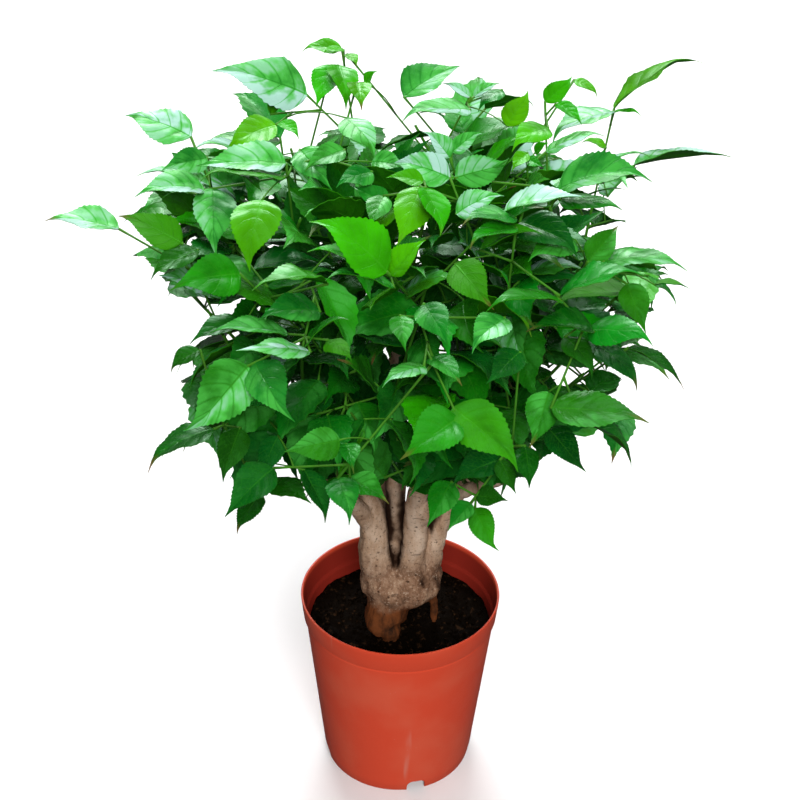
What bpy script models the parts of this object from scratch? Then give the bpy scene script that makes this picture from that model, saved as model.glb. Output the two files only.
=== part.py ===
"""A potted china doll plant: red nursery pot, potting soil, a knotted trunk and its leafy stems.

Metres, +Z up. The pot stands on z = 0 with its axis on the Z axis, and the front of the plant
faces -Y. Run it with: blender --background --python part.py
"""

import math
import random
from collections import namedtuple

import bmesh
import bpy
from mathutils import Euler, Matrix, Vector
from mathutils.bvhtree import BVHTree

# Driving dimensions
POT_HEIGHT = 0.202
POT_RIM_RADIUS = 0.100
POT_FOOT_RADIUS = 0.0765
POT_WALL = 0.0022
POT_FLOOR_HEIGHT = 0.013
RIM_BAND_HEIGHT = 0.023
RIM_BAND_STEP = 0.0022
POT_LIP = 0.001
POT_CORNER = 0.008
POT_FOOT_TUCK = 0.001
FOOT_NOTCH_WIDTH = 0.019
FOOT_NOTCH_HEIGHT = 0.011
FOOT_NOTCH_DEPTH = 0.014
FOOT_NOTCH_TURNS = (-75.0, 15.0, 105.0, 195.0)
POT_SIDES = 28
SOIL_HEIGHT = 0.168
SOIL_LUMP = 0.0035
CLEARANCE = 0.0003
CROWN_MIDDLE = Vector((0.0, 0.010, 0.53))
CROWN_REACH = Vector((0.300, 0.295, 0.215))
SHOOT_COUNT = 30
SHOOT_REACH = 0.68
STEM_RADIUS = 0.0024
TWIG_RADIUS = 0.0013
TWIG_OVERLAP = 0.0006
SEAT_REACH = 0.008
STEM_LEAFLETS = 13
LEAFLET_LENGTH = 0.076
SMALL_LEAFLET = 0.036
LEAFLET_WIDTH = 0.60
LEAFLET_COUNT = 210
BLADE_THICKNESS = 0.0007
BLADE_ROOM = 0.0025
LIMB_STEPS = 1

# How a blade bends, as parts of its length, and how far its halves fold up
BLADE_ARCH = (0.02, 0.09)
BLADE_WAVE = (0.015, 0.035)
BLADE_FOLD = (-0.15, 0.30)

# How a leafy stem finds its way from a bud to its tip
BUD_CHOICES = 6
SWAY_TRIES = 12
SWAY = 0.02
STEM_FOOT = 0.006
STEM_LIFT = 0.10

# How twigs fork: how far along a run at most, and how slanted they leave it
FORK_LIMIT = 0.92
FORK_SLANT = 0.4

# Sprays: the targets they fill, and each pair's way back from the end, spread and length
SPRAY_TARGETS = 260
SPRAY_SHELLS = (0.93, 0.86, 0.62)
SPRAY_SPACINGS = (0.080, 0.068, 0.056, 0.046, 0.038, 0.032)
SPRAY_PAIRS = ((0.004, 1.05, 0.88), (0.034, 1.25, 0.78))
SPRAY_REACH = 0.03

# How far a leaflet in view may shift along its sight line until there is room for it
DEPTH_SHIFTS = (0.0, 0.008, -0.008, 0.016, -0.016, 0.026, -0.026, 0.038, 0.05)
GOLDEN_TURN = math.pi * (3 - math.sqrt(5))
SEED = 11

# The sight lines of the reference view, which place the leaflets that it shows
VIEW_CENTRE = 400.0
VIEW_FOCAL = 1600.0
VIEW_PLACE = Vector((-0.0036, -1.276, 1.209))
VIEW_PITCH = math.radians(31.5)
VIEW_ROLL = math.radians(1.0)

# A limb of the trunk is a list of places with the bark's radius there
LIMBS = {
    "left": (
        (-0.018, -0.010, 0.216, 0.0185),
        (-0.026, -0.013, 0.260, 0.0155),
        (-0.030, -0.012, 0.305, 0.0130),
        (-0.056, -0.006, 0.362, 0.0088),
        (-0.098, -0.004, 0.425, 0.0060),
    ),
    "left_fork": (
        (-0.031, -0.014, 0.296, 0.0098),
        (-0.050, -0.045, 0.345, 0.0070),
        (-0.072, -0.088, 0.395, 0.0050),
    ),
    "middle": (
        (0.006, -0.010, 0.218, 0.0160),
        (0.012, -0.014, 0.262, 0.0130),
        (0.014, -0.014, 0.305, 0.0122),
        (0.017, -0.034, 0.365, 0.0084),
        (0.022, -0.070, 0.425, 0.0055),
    ),
    "middle_fork": (
        (0.015, -0.014, 0.300, 0.0090),
        (0.050, -0.046, 0.352, 0.0070),
        (0.088, -0.086, 0.398, 0.0050),
    ),
    "right": (
        (0.022, 0.000, 0.216, 0.0160),
        (0.031, -0.002, 0.258, 0.0118),
        (0.041, 0.001, 0.298, 0.0104),
        (0.075, 0.006, 0.355, 0.0082),
        (0.125, 0.012, 0.412, 0.0058),
    ),
    "back_left": (
        (-0.010, 0.012, 0.218, 0.0140),
        (-0.014, 0.030, 0.268, 0.0108),
        (-0.021, 0.046, 0.315, 0.0092),
        (-0.046, 0.078, 0.372, 0.0072),
        (-0.074, 0.112, 0.432, 0.0052),
    ),
    "back_right": (
        (0.010, 0.014, 0.218, 0.0135),
        (0.018, 0.034, 0.270, 0.0108),
        (0.030, 0.054, 0.318, 0.0092),
        (0.058, 0.084, 0.372, 0.0072),
        (0.086, 0.114, 0.432, 0.0052),
    ),
    "leader": (
        (-0.002, 0.002, 0.222, 0.0140),
        (-0.005, 0.007, 0.280, 0.0115),
        (-0.008, 0.012, 0.340, 0.0100),
        (-0.012, 0.020, 0.410, 0.0085),
        (-0.004, 0.028, 0.480, 0.0065),
        (0.004, 0.030, 0.540, 0.0048),
    ),
}

# A root ends in a straight round peg, which stands in a plain hole in the soil
ROOTS = {
    "main_root": (
        (-0.008, -0.006, 0.212, 0.0230),
        (-0.011, -0.019, 0.194, 0.0205),
        (-0.011, -0.029, 0.181, 0.0170),
        (-0.009, -0.032, 0.173, 0.0092),
        (-0.009, -0.032, 0.146, 0.0092),
    ),
    "thin_root": (
        (0.028, -0.002, 0.210, 0.0070),
        (0.034, -0.005, 0.192, 0.0040),
        (0.035, -0.006, 0.178, 0.0032),
        (0.035, -0.006, 0.152, 0.0032),
    ),
    "back_root": (
        (0.004, 0.010, 0.212, 0.0200),
        (0.010, 0.026, 0.192, 0.0150),
        (0.012, 0.032, 0.178, 0.0110),
        (0.012, 0.032, 0.148, 0.0110),
    ),
}
KNOT_MIDDLE = Vector((0.0005, -0.003, 0.219))
KNOT_REACH = Vector((0.0410, 0.036, 0.027))
LIMB_SIDES = 8
BUD_FRACTIONS = (0.50, 0.64, 0.78, 0.90, 1.0)

# Half widths of a leaflet from its tip to its base, as fractions of its length and half width
LEAFLET_OUTLINE = ((1.0, 0.0), (0.80, 0.36), (0.50, 1.0), (0.18, 0.80), (0.0, 0.0))
PLAIN_OUTLINE = ((1.0, 0.0), (0.60, 0.90), (0.20, 0.90), (0.0, 0.0))
LEAFLET_HEART = 0.42

# What the view shows of a leaflet: its base and tip in picture coordinates, how far its base
# lies inside the crown, how much nearer its tip is, and how far it opens from edge-on
Sighting = namedtuple("Sighting", "base tip sink reach opening")
LEAFLETS_IN_VIEW = (
    # Shoots that stand out at the upper left
    Sighting((342, 49), (302, 52), 0.10, 0.00, 40),
    Sighting((332, 65), (316, 107), 0.10, 0.02, 75),
    Sighting((338, 65), (346, 110), 0.10, 0.02, 60),
    Sighting((357, 83), (362, 111), 0.10, 0.02, 75),
    Sighting((307, 95), (212, 71), 0.08, 0.02, 55),
    Sighting((271, 114), (270, 90), 0.08, 0.00, 50),
    Sighting((276, 125), (225, 153), 0.06, 0.01, 55),
    Sighting((283, 120), (299, 140), 0.06, 0.01, 60),
    Sighting((191, 137), (125, 116), 0.05, -0.02, 50),
    Sighting((207, 158), (161, 171), 0.04, 0.02, 75),
    Sighting((286, 164), (196, 166), 0.03, 0.01, 38),
    Sighting((284, 178), (200, 182), 0.02, 0.02, 14),
    Sighting((205, 190), (135, 197), 0.03, 0.02, 34),
    Sighting((210, 187), (137, 176), 0.05, 0.01, 18),
    Sighting((182, 243), (118, 216), 0.02, 0.00, 60),
    Sighting((119, 229), (45, 221), -0.01, 0.00, 31),
    Sighting((262, 200), (250, 272), 0.00, 0.02, 82),
    Sighting((208, 192), (217, 259), 0.03, 0.02, 75),
    Sighting((240, 274), (170, 291), 0.01, 0.02, 75),
    Sighting((198, 250), (151, 280), 0.03, 0.01, 50),
    # Centre left
    Sighting((387, 272), (309, 222), 0.00, 0.01, 62),
    Sighting((388, 276), (426, 240), 0.00, 0.00, 55),
    Sighting((378, 272), (307, 252), 0.01, 0.01, 22),
    Sighting((394, 288), (325, 281), 0.00, 0.02, 18),
    Sighting((327, 284), (252, 291), 0.01, 0.02, 16),
    Sighting((320, 312), (258, 321), 0.02, 0.02, 52),
    Sighting((302, 350), (349, 320), 0.02, 0.02, 16),
    Sighting((310, 352), (236, 351), 0.01, 0.02, 24),
    Sighting((288, 334), (210, 333), 0.03, 0.02, 24),
    Sighting((328, 340), (352, 362), 0.02, 0.02, 60),
    # Top centre
    Sighting((404, 97), (460, 66), 0.10, -0.02, 45),
    Sighting((470, 97), (442, 84), 0.10, 0.00, 35),
    Sighting((474, 97), (500, 83), 0.10, 0.00, 35),
    Sighting((502, 90), (478, 112), 0.09, 0.01, 45),
    Sighting((470, 110), (402, 122), 0.08, 0.02, 30),
    Sighting((507, 126), (528, 90), 0.07, 0.00, 80),
    Sighting((545, 102), (572, 76), 0.09, 0.00, 80),
    Sighting((574, 80), (597, 98), 0.09, 0.00, 35),
    Sighting((556, 104), (582, 125), 0.08, 0.01, 45),
    Sighting((548, 128), (512, 152), 0.05, 0.02, 60),
    Sighting((346, 118), (374, 160), 0.06, 0.02, 60),
    Sighting((300, 150), (332, 190), 0.05, 0.02, 75),
    Sighting((345, 150), (305, 172), 0.05, 0.01, 60),
    Sighting((372, 172), (336, 188), 0.03, 0.02, 65),
    Sighting((372, 162), (408, 170), 0.06, 0.01, 60),
    # Top right
    Sighting((614, 109), (706, 64), 0.08, 0.00, 9),
    Sighting((614, 112), (641, 116), 0.08, 0.01, 18),
    Sighting((614, 112), (552, 146), 0.07, 0.01, 28),
    Sighting((546, 152), (604, 136), 0.05, 0.01, 22),
    Sighting((600, 168), (650, 157), 0.10, 0.01, 10),
    Sighting((634, 166), (731, 157), 0.13, 0.00, 7),
    Sighting((558, 190), (652, 182), 0.02, 0.02, 38),
    Sighting((560, 200), (622, 210), 0.02, 0.02, 30),
    Sighting((504, 212), (586, 197), 0.02, 0.01, 22),
    # Upper centre
    Sighting((450, 178), (392, 164), 0.02, -0.01, 65),
    Sighting((455, 178), (509, 158), 0.02, -0.01, 82),
    Sighting((450, 158), (422, 132), 0.06, 0.00, 60),
    Sighting((452, 152), (484, 134), 0.06, 0.00, 60),
    Sighting((420, 187), (397, 246), 0.00, 0.02, 82),
    Sighting((425, 188), (440, 236), 0.00, 0.02, 52),
    Sighting((424, 182), (386, 178), 0.01, 0.00, 50),
    Sighting((384, 196), (368, 228), 0.02, 0.02, 75),
    Sighting((388, 205), (352, 186), 0.04, 0.00, 65),
    Sighting((456, 214), (504, 196), 0.03, 0.00, 60),
    Sighting((516, 218), (462, 226), 0.02, 0.02, 30),
    Sighting((516, 228), (470, 250), 0.01, 0.02, 35),
    Sighting((480, 250), (542, 234), 0.02, 0.02, 24),
    Sighting((520, 222), (578, 260), 0.03, 0.02, 60),
    Sighting((455, 264), (494, 310), 0.03, 0.02, 80),
    # Right
    Sighting((588, 262), (618, 226), 0.03, -0.01, 85),
    Sighting((604, 262), (687, 271), 0.02, 0.01, 24),
    Sighting((575, 240), (528, 262), 0.02, 0.02, 60),
    Sighting((560, 296), (648, 278), 0.01, 0.01, 20),
    Sighting((562, 302), (486, 312), 0.01, 0.02, 20),
    Sighting((627, 284), (646, 334), 0.01, 0.01, 82),
    Sighting((648, 276), (676, 305), 0.03, 0.01, 16),
    Sighting((632, 292), (552, 308), 0.03, 0.01, 26),
    Sighting((588, 330), (653, 346), 0.01, 0.02, 55),
    Sighting((594, 332), (526, 332), 0.01, 0.01, 30),
    Sighting((565, 337), (592, 378), 0.02, 0.01, 50),
    Sighting((597, 345), (637, 391), 0.02, 0.01, 40),
    Sighting((628, 348), (684, 390), 0.02, 0.00, 14),
    Sighting((551, 408), (649, 423), 0.00, 0.01, 46),
    Sighting((580, 420), (631, 470), 0.02, 0.00, 15),
    Sighting((549, 392), (529, 448), 0.01, 0.02, 82),
    Sighting((548, 428), (586, 472), 0.02, 0.01, 65),
    Sighting((525, 446), (529, 489), 0.02, 0.01, 80),
    Sighting((500, 460), (516, 494), 0.03, 0.01, 70),
    # Middle
    Sighting((424, 304), (448, 346), 0.02, 0.02, 80),
    Sighting((400, 316), (406, 352), 0.02, 0.02, 80),
    Sighting((505, 318), (472, 354), 0.01, 0.02, 70),
    Sighting((432, 356), (462, 386), 0.03, 0.02, 50),
    Sighting((424, 366), (382, 388), 0.01, 0.02, 40),
    Sighting((520, 352), (486, 384), 0.02, 0.02, 75),
    Sighting((458, 418), (400, 460), 0.00, 0.02, 82),
    Sighting((460, 410), (518, 472), 0.00, 0.02, 85),
    # Lower centre and lower right
    Sighting((471, 503), (448, 531), 0.03, 0.01, 78),
    Sighting((475, 508), (499, 551), 0.02, 0.01, 88),
    Sighting((498, 460), (452, 488), 0.03, 0.01, 70),
    Sighting((451, 482), (427, 527), 0.03, 0.01, 85),
    Sighting((474, 494), (508, 501), 0.04, 0.01, 75),
    Sighting((338, 478), (349, 525), 0.01, 0.02, 88),
    Sighting((350, 478), (389, 504), 0.02, 0.02, 65),
    Sighting((340, 440), (284, 452), 0.00, 0.01, 88),
    Sighting((346, 444), (354, 474), 0.02, 0.02, 75),
    # Left
    Sighting((248, 366), (183, 431), 0.00, 0.01, 88),
    Sighting((254, 370), (295, 422), 0.00, 0.02, 85),
    Sighting((214, 429), (148, 473), 0.01, 0.01, 28),
    Sighting((240, 428), (223, 483), 0.02, 0.01, 88),
    Sighting((274, 468), (225, 517), 0.01, 0.01, 65),
    Sighting((261, 494), (237, 534), 0.03, 0.01, 60),
    Sighting((278, 436), (258, 480), 0.03, 0.01, 80),
    Sighting((244, 323), (190, 344), 0.03, 0.01, 38),
    Sighting((200, 350), (171, 373), 0.02, 0.00, 50),
    Sighting((304, 470), (325, 523), 0.03, 0.01, 50),
)

# The edge of the crown in the view, which nothing else of the plant crosses
CROWN_EDGE_IN_VIEW = (
    (300, 50), (345, 42), (375, 80), (402, 98), (450, 64), (505, 84), (560, 74), (600, 96),
    (640, 86), (650, 112), (602, 150), (690, 158), (640, 178), (622, 215), (640, 258),
    (682, 272), (655, 290), (652, 345), (682, 388), (640, 392), (650, 420), (628, 460),
    (585, 472), (550, 458), (516, 500), (470, 520), (430, 510), (392, 498), (350, 522),
    (300, 514), (240, 528), (225, 470), (152, 470), (186, 428), (172, 372), (200, 330),
    (152, 284), (122, 240), (120, 212), (140, 190), (130, 118), (200, 118), (222, 76), (298, 96),
)

Leaflet = namedtuple("Leaflet", "base tip face width outline seed")
Twig = namedtuple("Twig", "start end radius")


def clear_scene():
    for old in list(bpy.data.objects):
        bpy.data.objects.remove(old, do_unlink=True)


def material(name, colour, roughness):
    paint = bpy.data.materials.new(name)
    paint.use_nodes = True
    shader = paint.node_tree.nodes["Principled BSDF"]
    shader.inputs["Base Color"].default_value = (*colour, 1.0)
    shader.inputs["Roughness"].default_value = roughness
    shader.inputs["Metallic"].default_value = 0.0
    return paint


def new_object(name, mesh, collection, paint=None):
    made = bpy.data.objects.new(name, mesh)
    collection.objects.link(made)
    if paint:
        mesh.materials.append(paint)
    return made


def mesh_from(bm, name):
    mesh = bpy.data.meshes.new(name)
    bm.to_mesh(mesh)
    bm.free()
    return mesh


# The view's sight lines


def view_turn():
    """The view's own axes as the columns of a matrix: right, up and back."""
    tilt = Euler((math.pi / 2 - VIEW_PITCH, 0.0, 0.0)).to_matrix()
    return tilt @ Matrix.Rotation(VIEW_ROLL, 3, "Z")


def sight_line(spot):
    """The direction of one picture coordinate, one metre deep along the view."""
    across = (spot[0] - VIEW_CENTRE) / VIEW_FOCAL
    upward = (VIEW_CENTRE - spot[1]) / VIEW_FOCAL
    return view_turn() @ Vector((across, upward, -1.0))


def picture_spot(point):
    """Where the view shows a point of the plant."""
    seen = view_turn().transposed() @ (point - VIEW_PLACE)
    return (
        VIEW_CENTRE - VIEW_FOCAL * seen.x / seen.z,
        VIEW_CENTRE + VIEW_FOCAL * seen.y / seen.z,
    )


def crown_depth(spot):
    """How deep along its sight line a picture coordinate meets the crown, or passes nearest it."""
    line = sight_line(spot)
    start = Vector((VIEW_PLACE - CROWN_MIDDLE)[i] / CROWN_REACH[i] for i in range(3))
    step = Vector(line[i] / CROWN_REACH[i] for i in range(3))
    inside = start.dot(step) ** 2 - step.dot(step) * (start.dot(start) - 1.0)
    return (-start.dot(step) - math.sqrt(max(inside, 0.0))) / step.dot(step)


def inside_edge(spot, edge):
    """Whether a picture coordinate lies inside a closed outline."""
    within = False
    for (x0, y0), (x1, y1) in zip(edge, edge[1:] + edge[:1]):
        if (y0 > spot[1]) != (y1 > spot[1]):
            if spot[0] < x0 + (x1 - x0) * (spot[1] - y0) / (y1 - y0):
                within = not within
    return within


# Shapes that the plant is grown from


def smooth_path(points, steps):
    """A curve through the points, cut into equal steps between each two of them."""
    points = [Vector(p) for p in points]
    ends = [points[0] * 2 - points[1]] + points + [points[-1] * 2 - points[-2]]
    path = []
    for a, b, c, d in zip(ends, ends[1:], ends[2:], ends[3:]):
        for k in range(steps):
            t = k / steps
            bend = (2 * a - 5 * b + 4 * c - d) * t**2 + (3 * b - a - 3 * c + d) * t**3
            path.append((2 * b + (c - a) * t + bend) / 2)
    return path + [points[-1]]


def add_rod(bm, start, end, radius_start, radius_end, sides=3):
    """A straight tapered rod between two points."""
    along = end - start
    place = Matrix.Translation((start + end) / 2) @ along.to_track_quat("Z", "Y").to_matrix().to_4x4()
    bmesh.ops.create_cone(
        bm, cap_ends=True, segments=sides, radius1=radius_start, radius2=radius_end,
        depth=along.length, matrix=place,
    )


def add_blade(bm, leaflet, thickness=BLADE_THICKNESS):
    """A waved blade: a disc of triangles drawn out to the leaflet's outline, given its thickness."""
    dice = random.Random(leaflet.seed)
    along = leaflet.tip - leaflet.base
    length = along.length
    along = along / length
    across = leaflet.face.cross(along).normalized()
    face = along.cross(across)
    arch = dice.uniform(*BLADE_ARCH) * length
    fold = dice.uniform(*BLADE_FOLD)
    wave = dice.uniform(*BLADE_WAVE) * length
    turn = dice.uniform(0.0, math.tau)
    half_steps = len(leaflet.outline) - 1
    disc = bmesh.ops.create_circle(
        bm, cap_ends=True, cap_tris=True, segments=2 * half_steps, radius=1.0
    )
    for vertex in disc["verts"]:
        if vertex.co.length < 0.5:
            along_part, side_part, side = LEAFLET_HEART, 0.0, 0.0
        else:
            step = round(math.atan2(vertex.co.x, vertex.co.y) / math.pi * half_steps)
            along_part, side_part = leaflet.outline[abs(step)]
            side = math.copysign(side_part, step)
        rise = arch * 4 * along_part * (1 - along_part) + fold * abs(side) * leaflet.width / 2
        rise += wave * math.sin(turn + 9.0 * along_part + 2.0 * side) * abs(side)
        vertex.co = leaflet.base + along * along_part * length + across * side * leaflet.width / 2
        vertex.co += face * (rise + thickness / 2)
    top = [f for f in bm.faces if all(v in disc["verts"] for v in f.verts)]
    grown = bmesh.ops.extrude_face_region(bm, geom=top)
    under = [g for g in grown["geom"] if isinstance(g, bmesh.types.BMVert)]
    bmesh.ops.translate(bm, verts=under, vec=-face * thickness)
    bmesh.ops.recalc_face_normals(bm, faces=bm.faces)


# Growing the crown


class Crown:
    """The leafy stems as they grow, each kept clear of all the others."""

    def __init__(self, limbs):
        self.solids = []
        self.leaflets = [[] for _ in range(SHOOT_COUNT)]
        self.twigs = [[] for _ in range(SHOOT_COUNT)]
        self.stems = []
        self.in_view = []
        self.middles = []
        for path in limbs:
            for (a, ra), (b, rb) in zip(path, path[1:]):
                self.keep("trunk", "wood", self.rod_shape(a, b, ra, rb, LIMB_SIDES))

    @staticmethod
    def rod_shape(a, b, ra, rb, sides=3):
        bm = bmesh.new()
        add_rod(bm, a, b, ra, rb, sides)
        return bm

    @staticmethod
    def blade_shape(leaflet, thickness=BLADE_THICKNESS):
        bm = bmesh.new()
        add_blade(bm, leaflet, thickness)
        return bm

    def keep(self, owner, kind, bm):
        middle = sum((v.co for v in bm.verts), Vector()) / len(bm.verts)
        reach = max((v.co - middle).length for v in bm.verts)
        self.solids.append((owner, kind, middle, reach, BVHTree.FromBMesh(bm)))
        bm.free()

    def is_clear(self, owner, kind, bm):
        """Nothing of another stem, and for a blade no other blade, meets this shape."""
        middle = sum((v.co for v in bm.verts), Vector()) / len(bm.verts)
        reach = max((v.co - middle).length for v in bm.verts)
        tree = BVHTree.FromBMesh(bm)
        bm.free()
        for other, other_kind, centre, radius, other_tree in self.solids:
            if other == owner and not (kind == "blade" and other_kind == "blade"):
                continue
            if (centre - middle).length < reach + radius and tree.overlap(other_tree):
                return False
        return True

    def nearest_fork(self, shoot, point):
        """Where a twig to the point leaves its stem or an earlier twig, a little way back along it."""
        best = None
        path = self.stems[shoot]
        runs = list(zip(path[1:], path[2:])) + [(t.start, t.end) for t in self.twigs[shoot]]
        for a, b in runs:
            run = b - a
            place = min(max((point - a).dot(run) / run.length_squared, 0.0), FORK_LIMIT)
            back = FORK_SLANT * (point - (a + run * place)).length / run.length
            fork = a + run * max(place - back, 0.0)
            if best is None or (point - fork).length < (point - best).length:
                best = fork
        return best

    def nearest_stems(self, point):
        """The stems with room for another leaflet, nearest first."""
        gaps = {}
        for shoot, path in enumerate(self.stems):
            if len(self.leaflets[shoot]) < STEM_LEAFLETS:
                gaps[shoot] = min((point - p).length for p in path[2:])
        return sorted(gaps, key=gaps.__getitem__)

    def try_twig(self, shoot, start, end, radius=TWIG_RADIUS):
        """Grow a twig if its way is free."""
        if (end - start).length < 2 * radius:
            return False
        end = end + (end - start).normalized() * TWIG_OVERLAP
        if not self.is_clear(shoot, "twig", self.rod_shape(start, end, radius * 2, radius * 2)):
            return False
        self.twigs[shoot].append(Twig(start, end, radius))
        self.keep(shoot, "twig", self.rod_shape(start, end, radius, radius * 0.8))
        return True

    def try_leaflet(self, shoot, leaflet, stalked=True):
        """Grow a leaflet if there is room for it, on a stalk or straight from the twig at its base."""
        if not self.is_clear(shoot, "blade", self.blade_shape(leaflet, BLADE_ROOM)):
            return False
        if stalked:
            fork = self.nearest_fork(shoot, leaflet.base)
            if (fork - leaflet.base).length < SEAT_REACH:
                leaflet = leaflet._replace(base=fork)
            elif not self.try_twig(shoot, fork, leaflet.base):
                return False
        self.leaflets[shoot].append(leaflet)
        self.middles.append((leaflet.base + leaflet.tip) / 2)
        self.keep(shoot, "blade", self.blade_shape(leaflet))
        return True

    def hides_a_leaflet_in_view(self, leaflet):
        bm = self.blade_shape(leaflet)
        corners = [v.co.copy() for v in bm.verts]
        bm.free()
        for corner in corners:
            away = (corner - VIEW_PLACE).normalized()
            if self.in_view_tree.ray_cast(corner, away)[0] is not None:
                return True
            if not inside_edge(picture_spot(corner), CROWN_EDGE_IN_VIEW):
                return True
        return False


def face_for(base, tip, roll):
    """The way a blade faces: upwards and a little outwards, rolled about its own length."""
    along = (tip - base).normalized()
    outward = Vector((base.x, base.y, 0.0)).normalized()
    up = Vector((0.0, 0.0, 1.0)) + outward * 0.25
    face = (up - along * up.dot(along)).normalized()
    return Matrix.Rotation(roll, 3, along) @ face


def face_to_viewer(base, tip, degrees):
    """The way a blade faces: edge-on to the viewer at 0, its upper side turned to the viewer at 90."""
    along = (tip - base).normalized()
    toward = VIEW_PLACE - base
    open_face = (toward - along * toward.dot(along)).normalized()
    edge_face = along.cross(open_face)
    if edge_face.z < 0.0:
        edge_face = -edge_face
    opened = math.radians(degrees)
    return edge_face * math.cos(opened) + open_face * math.sin(opened)


def limb_paths():
    """Every limb as a list of places along it with the bark's radius there."""
    paths = {}
    for name, places in LIMBS.items():
        points = smooth_path([p[:3] for p in places], LIMB_STEPS)
        sizes = smooth_path([(p[3], 0.0, 0.0) for p in places], LIMB_STEPS)
        paths[name] = [(p, s.x) for p, s in zip(points, sizes)]
    return paths


def in_crown(way, part):
    """The place a given part of the way from the crown's middle out to its edge."""
    return CROWN_MIDDLE + Vector(CROWN_REACH[i] * part * way[i] for i in range(3))


def buds(paths):
    """Free places along the limbs where a leafy stem can start."""
    places = []
    for path in paths.values():
        for fraction in BUD_FRACTIONS:
            spot = fraction * (len(path) - 1)
            k = min(int(spot), len(path) - 2)
            (a, ra), (b, rb) = path[k], path[k + 1]
            t = spot - k
            places.append((a.lerp(b, t), (b - a).normalized(), ra + (rb - ra) * t, fraction == 1.0))
    return places


def shoot_tips():
    """Where the leafy stems end: evenly over an inner dome of the crown."""
    tips = []
    for k in range(SHOOT_COUNT):
        height = 0.98 - 1.22 * (k + 0.5) / SHOOT_COUNT
        level = math.sqrt(1 - height**2)
        turn = k * GOLDEN_TURN + 0.6
        way = Vector((level * math.cos(turn), level * math.sin(turn), height))
        tips.append(in_crown(way, SHOOT_REACH))
    return tips


def stem_path(bud, tip, sway):
    """A leafy stem's way from its bud, square off the bark, up and out to its tip."""
    middle, along, radius, at_end = bud
    off = tip - middle
    leave = along if at_end else (off - along * off.dot(along)).normalized()
    start = middle + leave * (CLEARANCE if at_end else radius + CLEARANCE)
    root = start + leave * STEM_FOOT
    bend = root.lerp(tip, 0.5) + sway + Vector((0.0, 0.0, STEM_LIFT * (tip - root).length))
    return [start, root, root.lerp(bend, 0.55), bend, tip.lerp(bend, 0.4), tip]


def free_stem_path(crown, shoot, bud, tip, dice):
    """A way for one leafy stem that keeps clear of all the others, or None."""
    for _ in range(SWAY_TRIES):
        sway = Vector(dice.uniform(-SWAY, SWAY) for _ in range(3))
        trial = stem_path(bud, tip, sway)
        rooms = [STEM_RADIUS] + [STEM_RADIUS * 1.6] * (len(trial) - 2)
        rods = [crown.rod_shape(a, b, r, r, 4) for a, b, r in zip(trial, trial[1:], rooms)]
        if all(crown.is_clear(shoot, "stem", rod) for rod in rods):
            return trial
    return None


def grow_stems(crown, paths):
    dice = random.Random(SEED)
    free = buds(paths)
    for shoot, tip in enumerate(shoot_tips()):
        order = sorted(free, key=lambda bud: (bud[0] - tip).length)
        for bud in order[:BUD_CHOICES]:
            path = free_stem_path(crown, shoot, bud, tip, dice)
            if path:
                free.remove(bud)
                break
        else:
            raise RuntimeError(f"leafy stem {shoot} finds no free way")
        crown.stems.append(path)
        for a, b in zip(path, path[1:]):
            crown.keep(shoot, "stem", crown.rod_shape(a, b, STEM_RADIUS, STEM_RADIUS, 4))


def grow_leaflets_in_view(crown):
    """The leaflets that the view shows, each on its own sight lines."""
    missed = []
    for number, seen in enumerate(LEAFLETS_IN_VIEW):
        dice = random.Random(SEED * 1000 + number)
        depth = crown_depth(seen.base) + seen.sink
        grown = False
        for shift in DEPTH_SHIFTS:
            base = VIEW_PLACE + sight_line(seen.base) * (depth + shift)
            tip = VIEW_PLACE + sight_line(seen.tip) * (depth + shift - seen.reach)
            width = (tip - base).length * (LEAFLET_WIDTH + dice.uniform(-0.05, 0.05))
            face = face_to_viewer(base, tip, seen.opening)
            outline = PLAIN_OUTLINE if (tip - base).length < SMALL_LEAFLET else LEAFLET_OUTLINE
            leaflet = Leaflet(base, tip, face, width, outline, SEED * 1000 + number)
            for shoot in crown.nearest_stems(base)[:4]:
                if crown.try_leaflet(shoot, leaflet):
                    crown.in_view.append(leaflet)
                    grown = True
                    break
            if grown:
                break
        if not grown:
            missed.append(number)
    bm = bmesh.new()
    for leaflet in crown.in_view:
        add_blade(bm, leaflet)
    crown.in_view_tree = BVHTree.FromBMesh(bm)
    bm.free()
    return missed


def spray_leaflets(start, end, along, length, dice):
    """An end leaflet and pairs beside the twig, as (base, direction, length)."""
    twig = (end - start).normalized()
    up = face_for(end, end + along, dice.uniform(-0.35, 0.35))
    side = twig.cross(up).normalized()
    yield end, along, length
    for back, spread, part in SPRAY_PAIRS:
        if back > 0.8 * (end - start).length:
            break
        for hand in (-1, 1):
            way = along * math.cos(spread) + side * hand * math.sin(spread)
            way += up * dice.uniform(-0.3, 0.1)
            yield end - twig * back, way.normalized(), length * part * dice.uniform(0.88, 1.1)


def grow_spray(crown, target, out, seed, dice):
    """One spray that reaches out to its target; its leaflets grow where there is room."""
    along = out.normalized()
    length = LEAFLET_LENGTH * dice.uniform(0.80, 1.12)
    end = target - along * length / 2
    stem = min(crown.nearest_stems(end)[:3], key=lambda k: len(crown.leaflets[k]))
    start = crown.nearest_fork(stem, end - along * SPRAY_REACH)
    grown = 0
    for number, (base, way, size) in enumerate(spray_leaflets(start, end, along, length, dice)):
        tip = base + way * size
        width = size * (LEAFLET_WIDTH + dice.uniform(-0.05, 0.05))
        face = face_for(base, tip, dice.uniform(-0.4, 0.4))
        leaflet = Leaflet(base, tip, face, width, PLAIN_OUTLINE, seed + number)
        if crown.hides_a_leaflet_in_view(leaflet):
            continue
        if not grown:
            if not crown.is_clear(stem, "blade", crown.blade_shape(leaflet, BLADE_ROOM)):
                continue
            if not crown.try_twig(stem, start, end):
                break
        if crown.try_leaflet(stem, leaflet, stalked=False):
            grown += 1
    return grown


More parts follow.
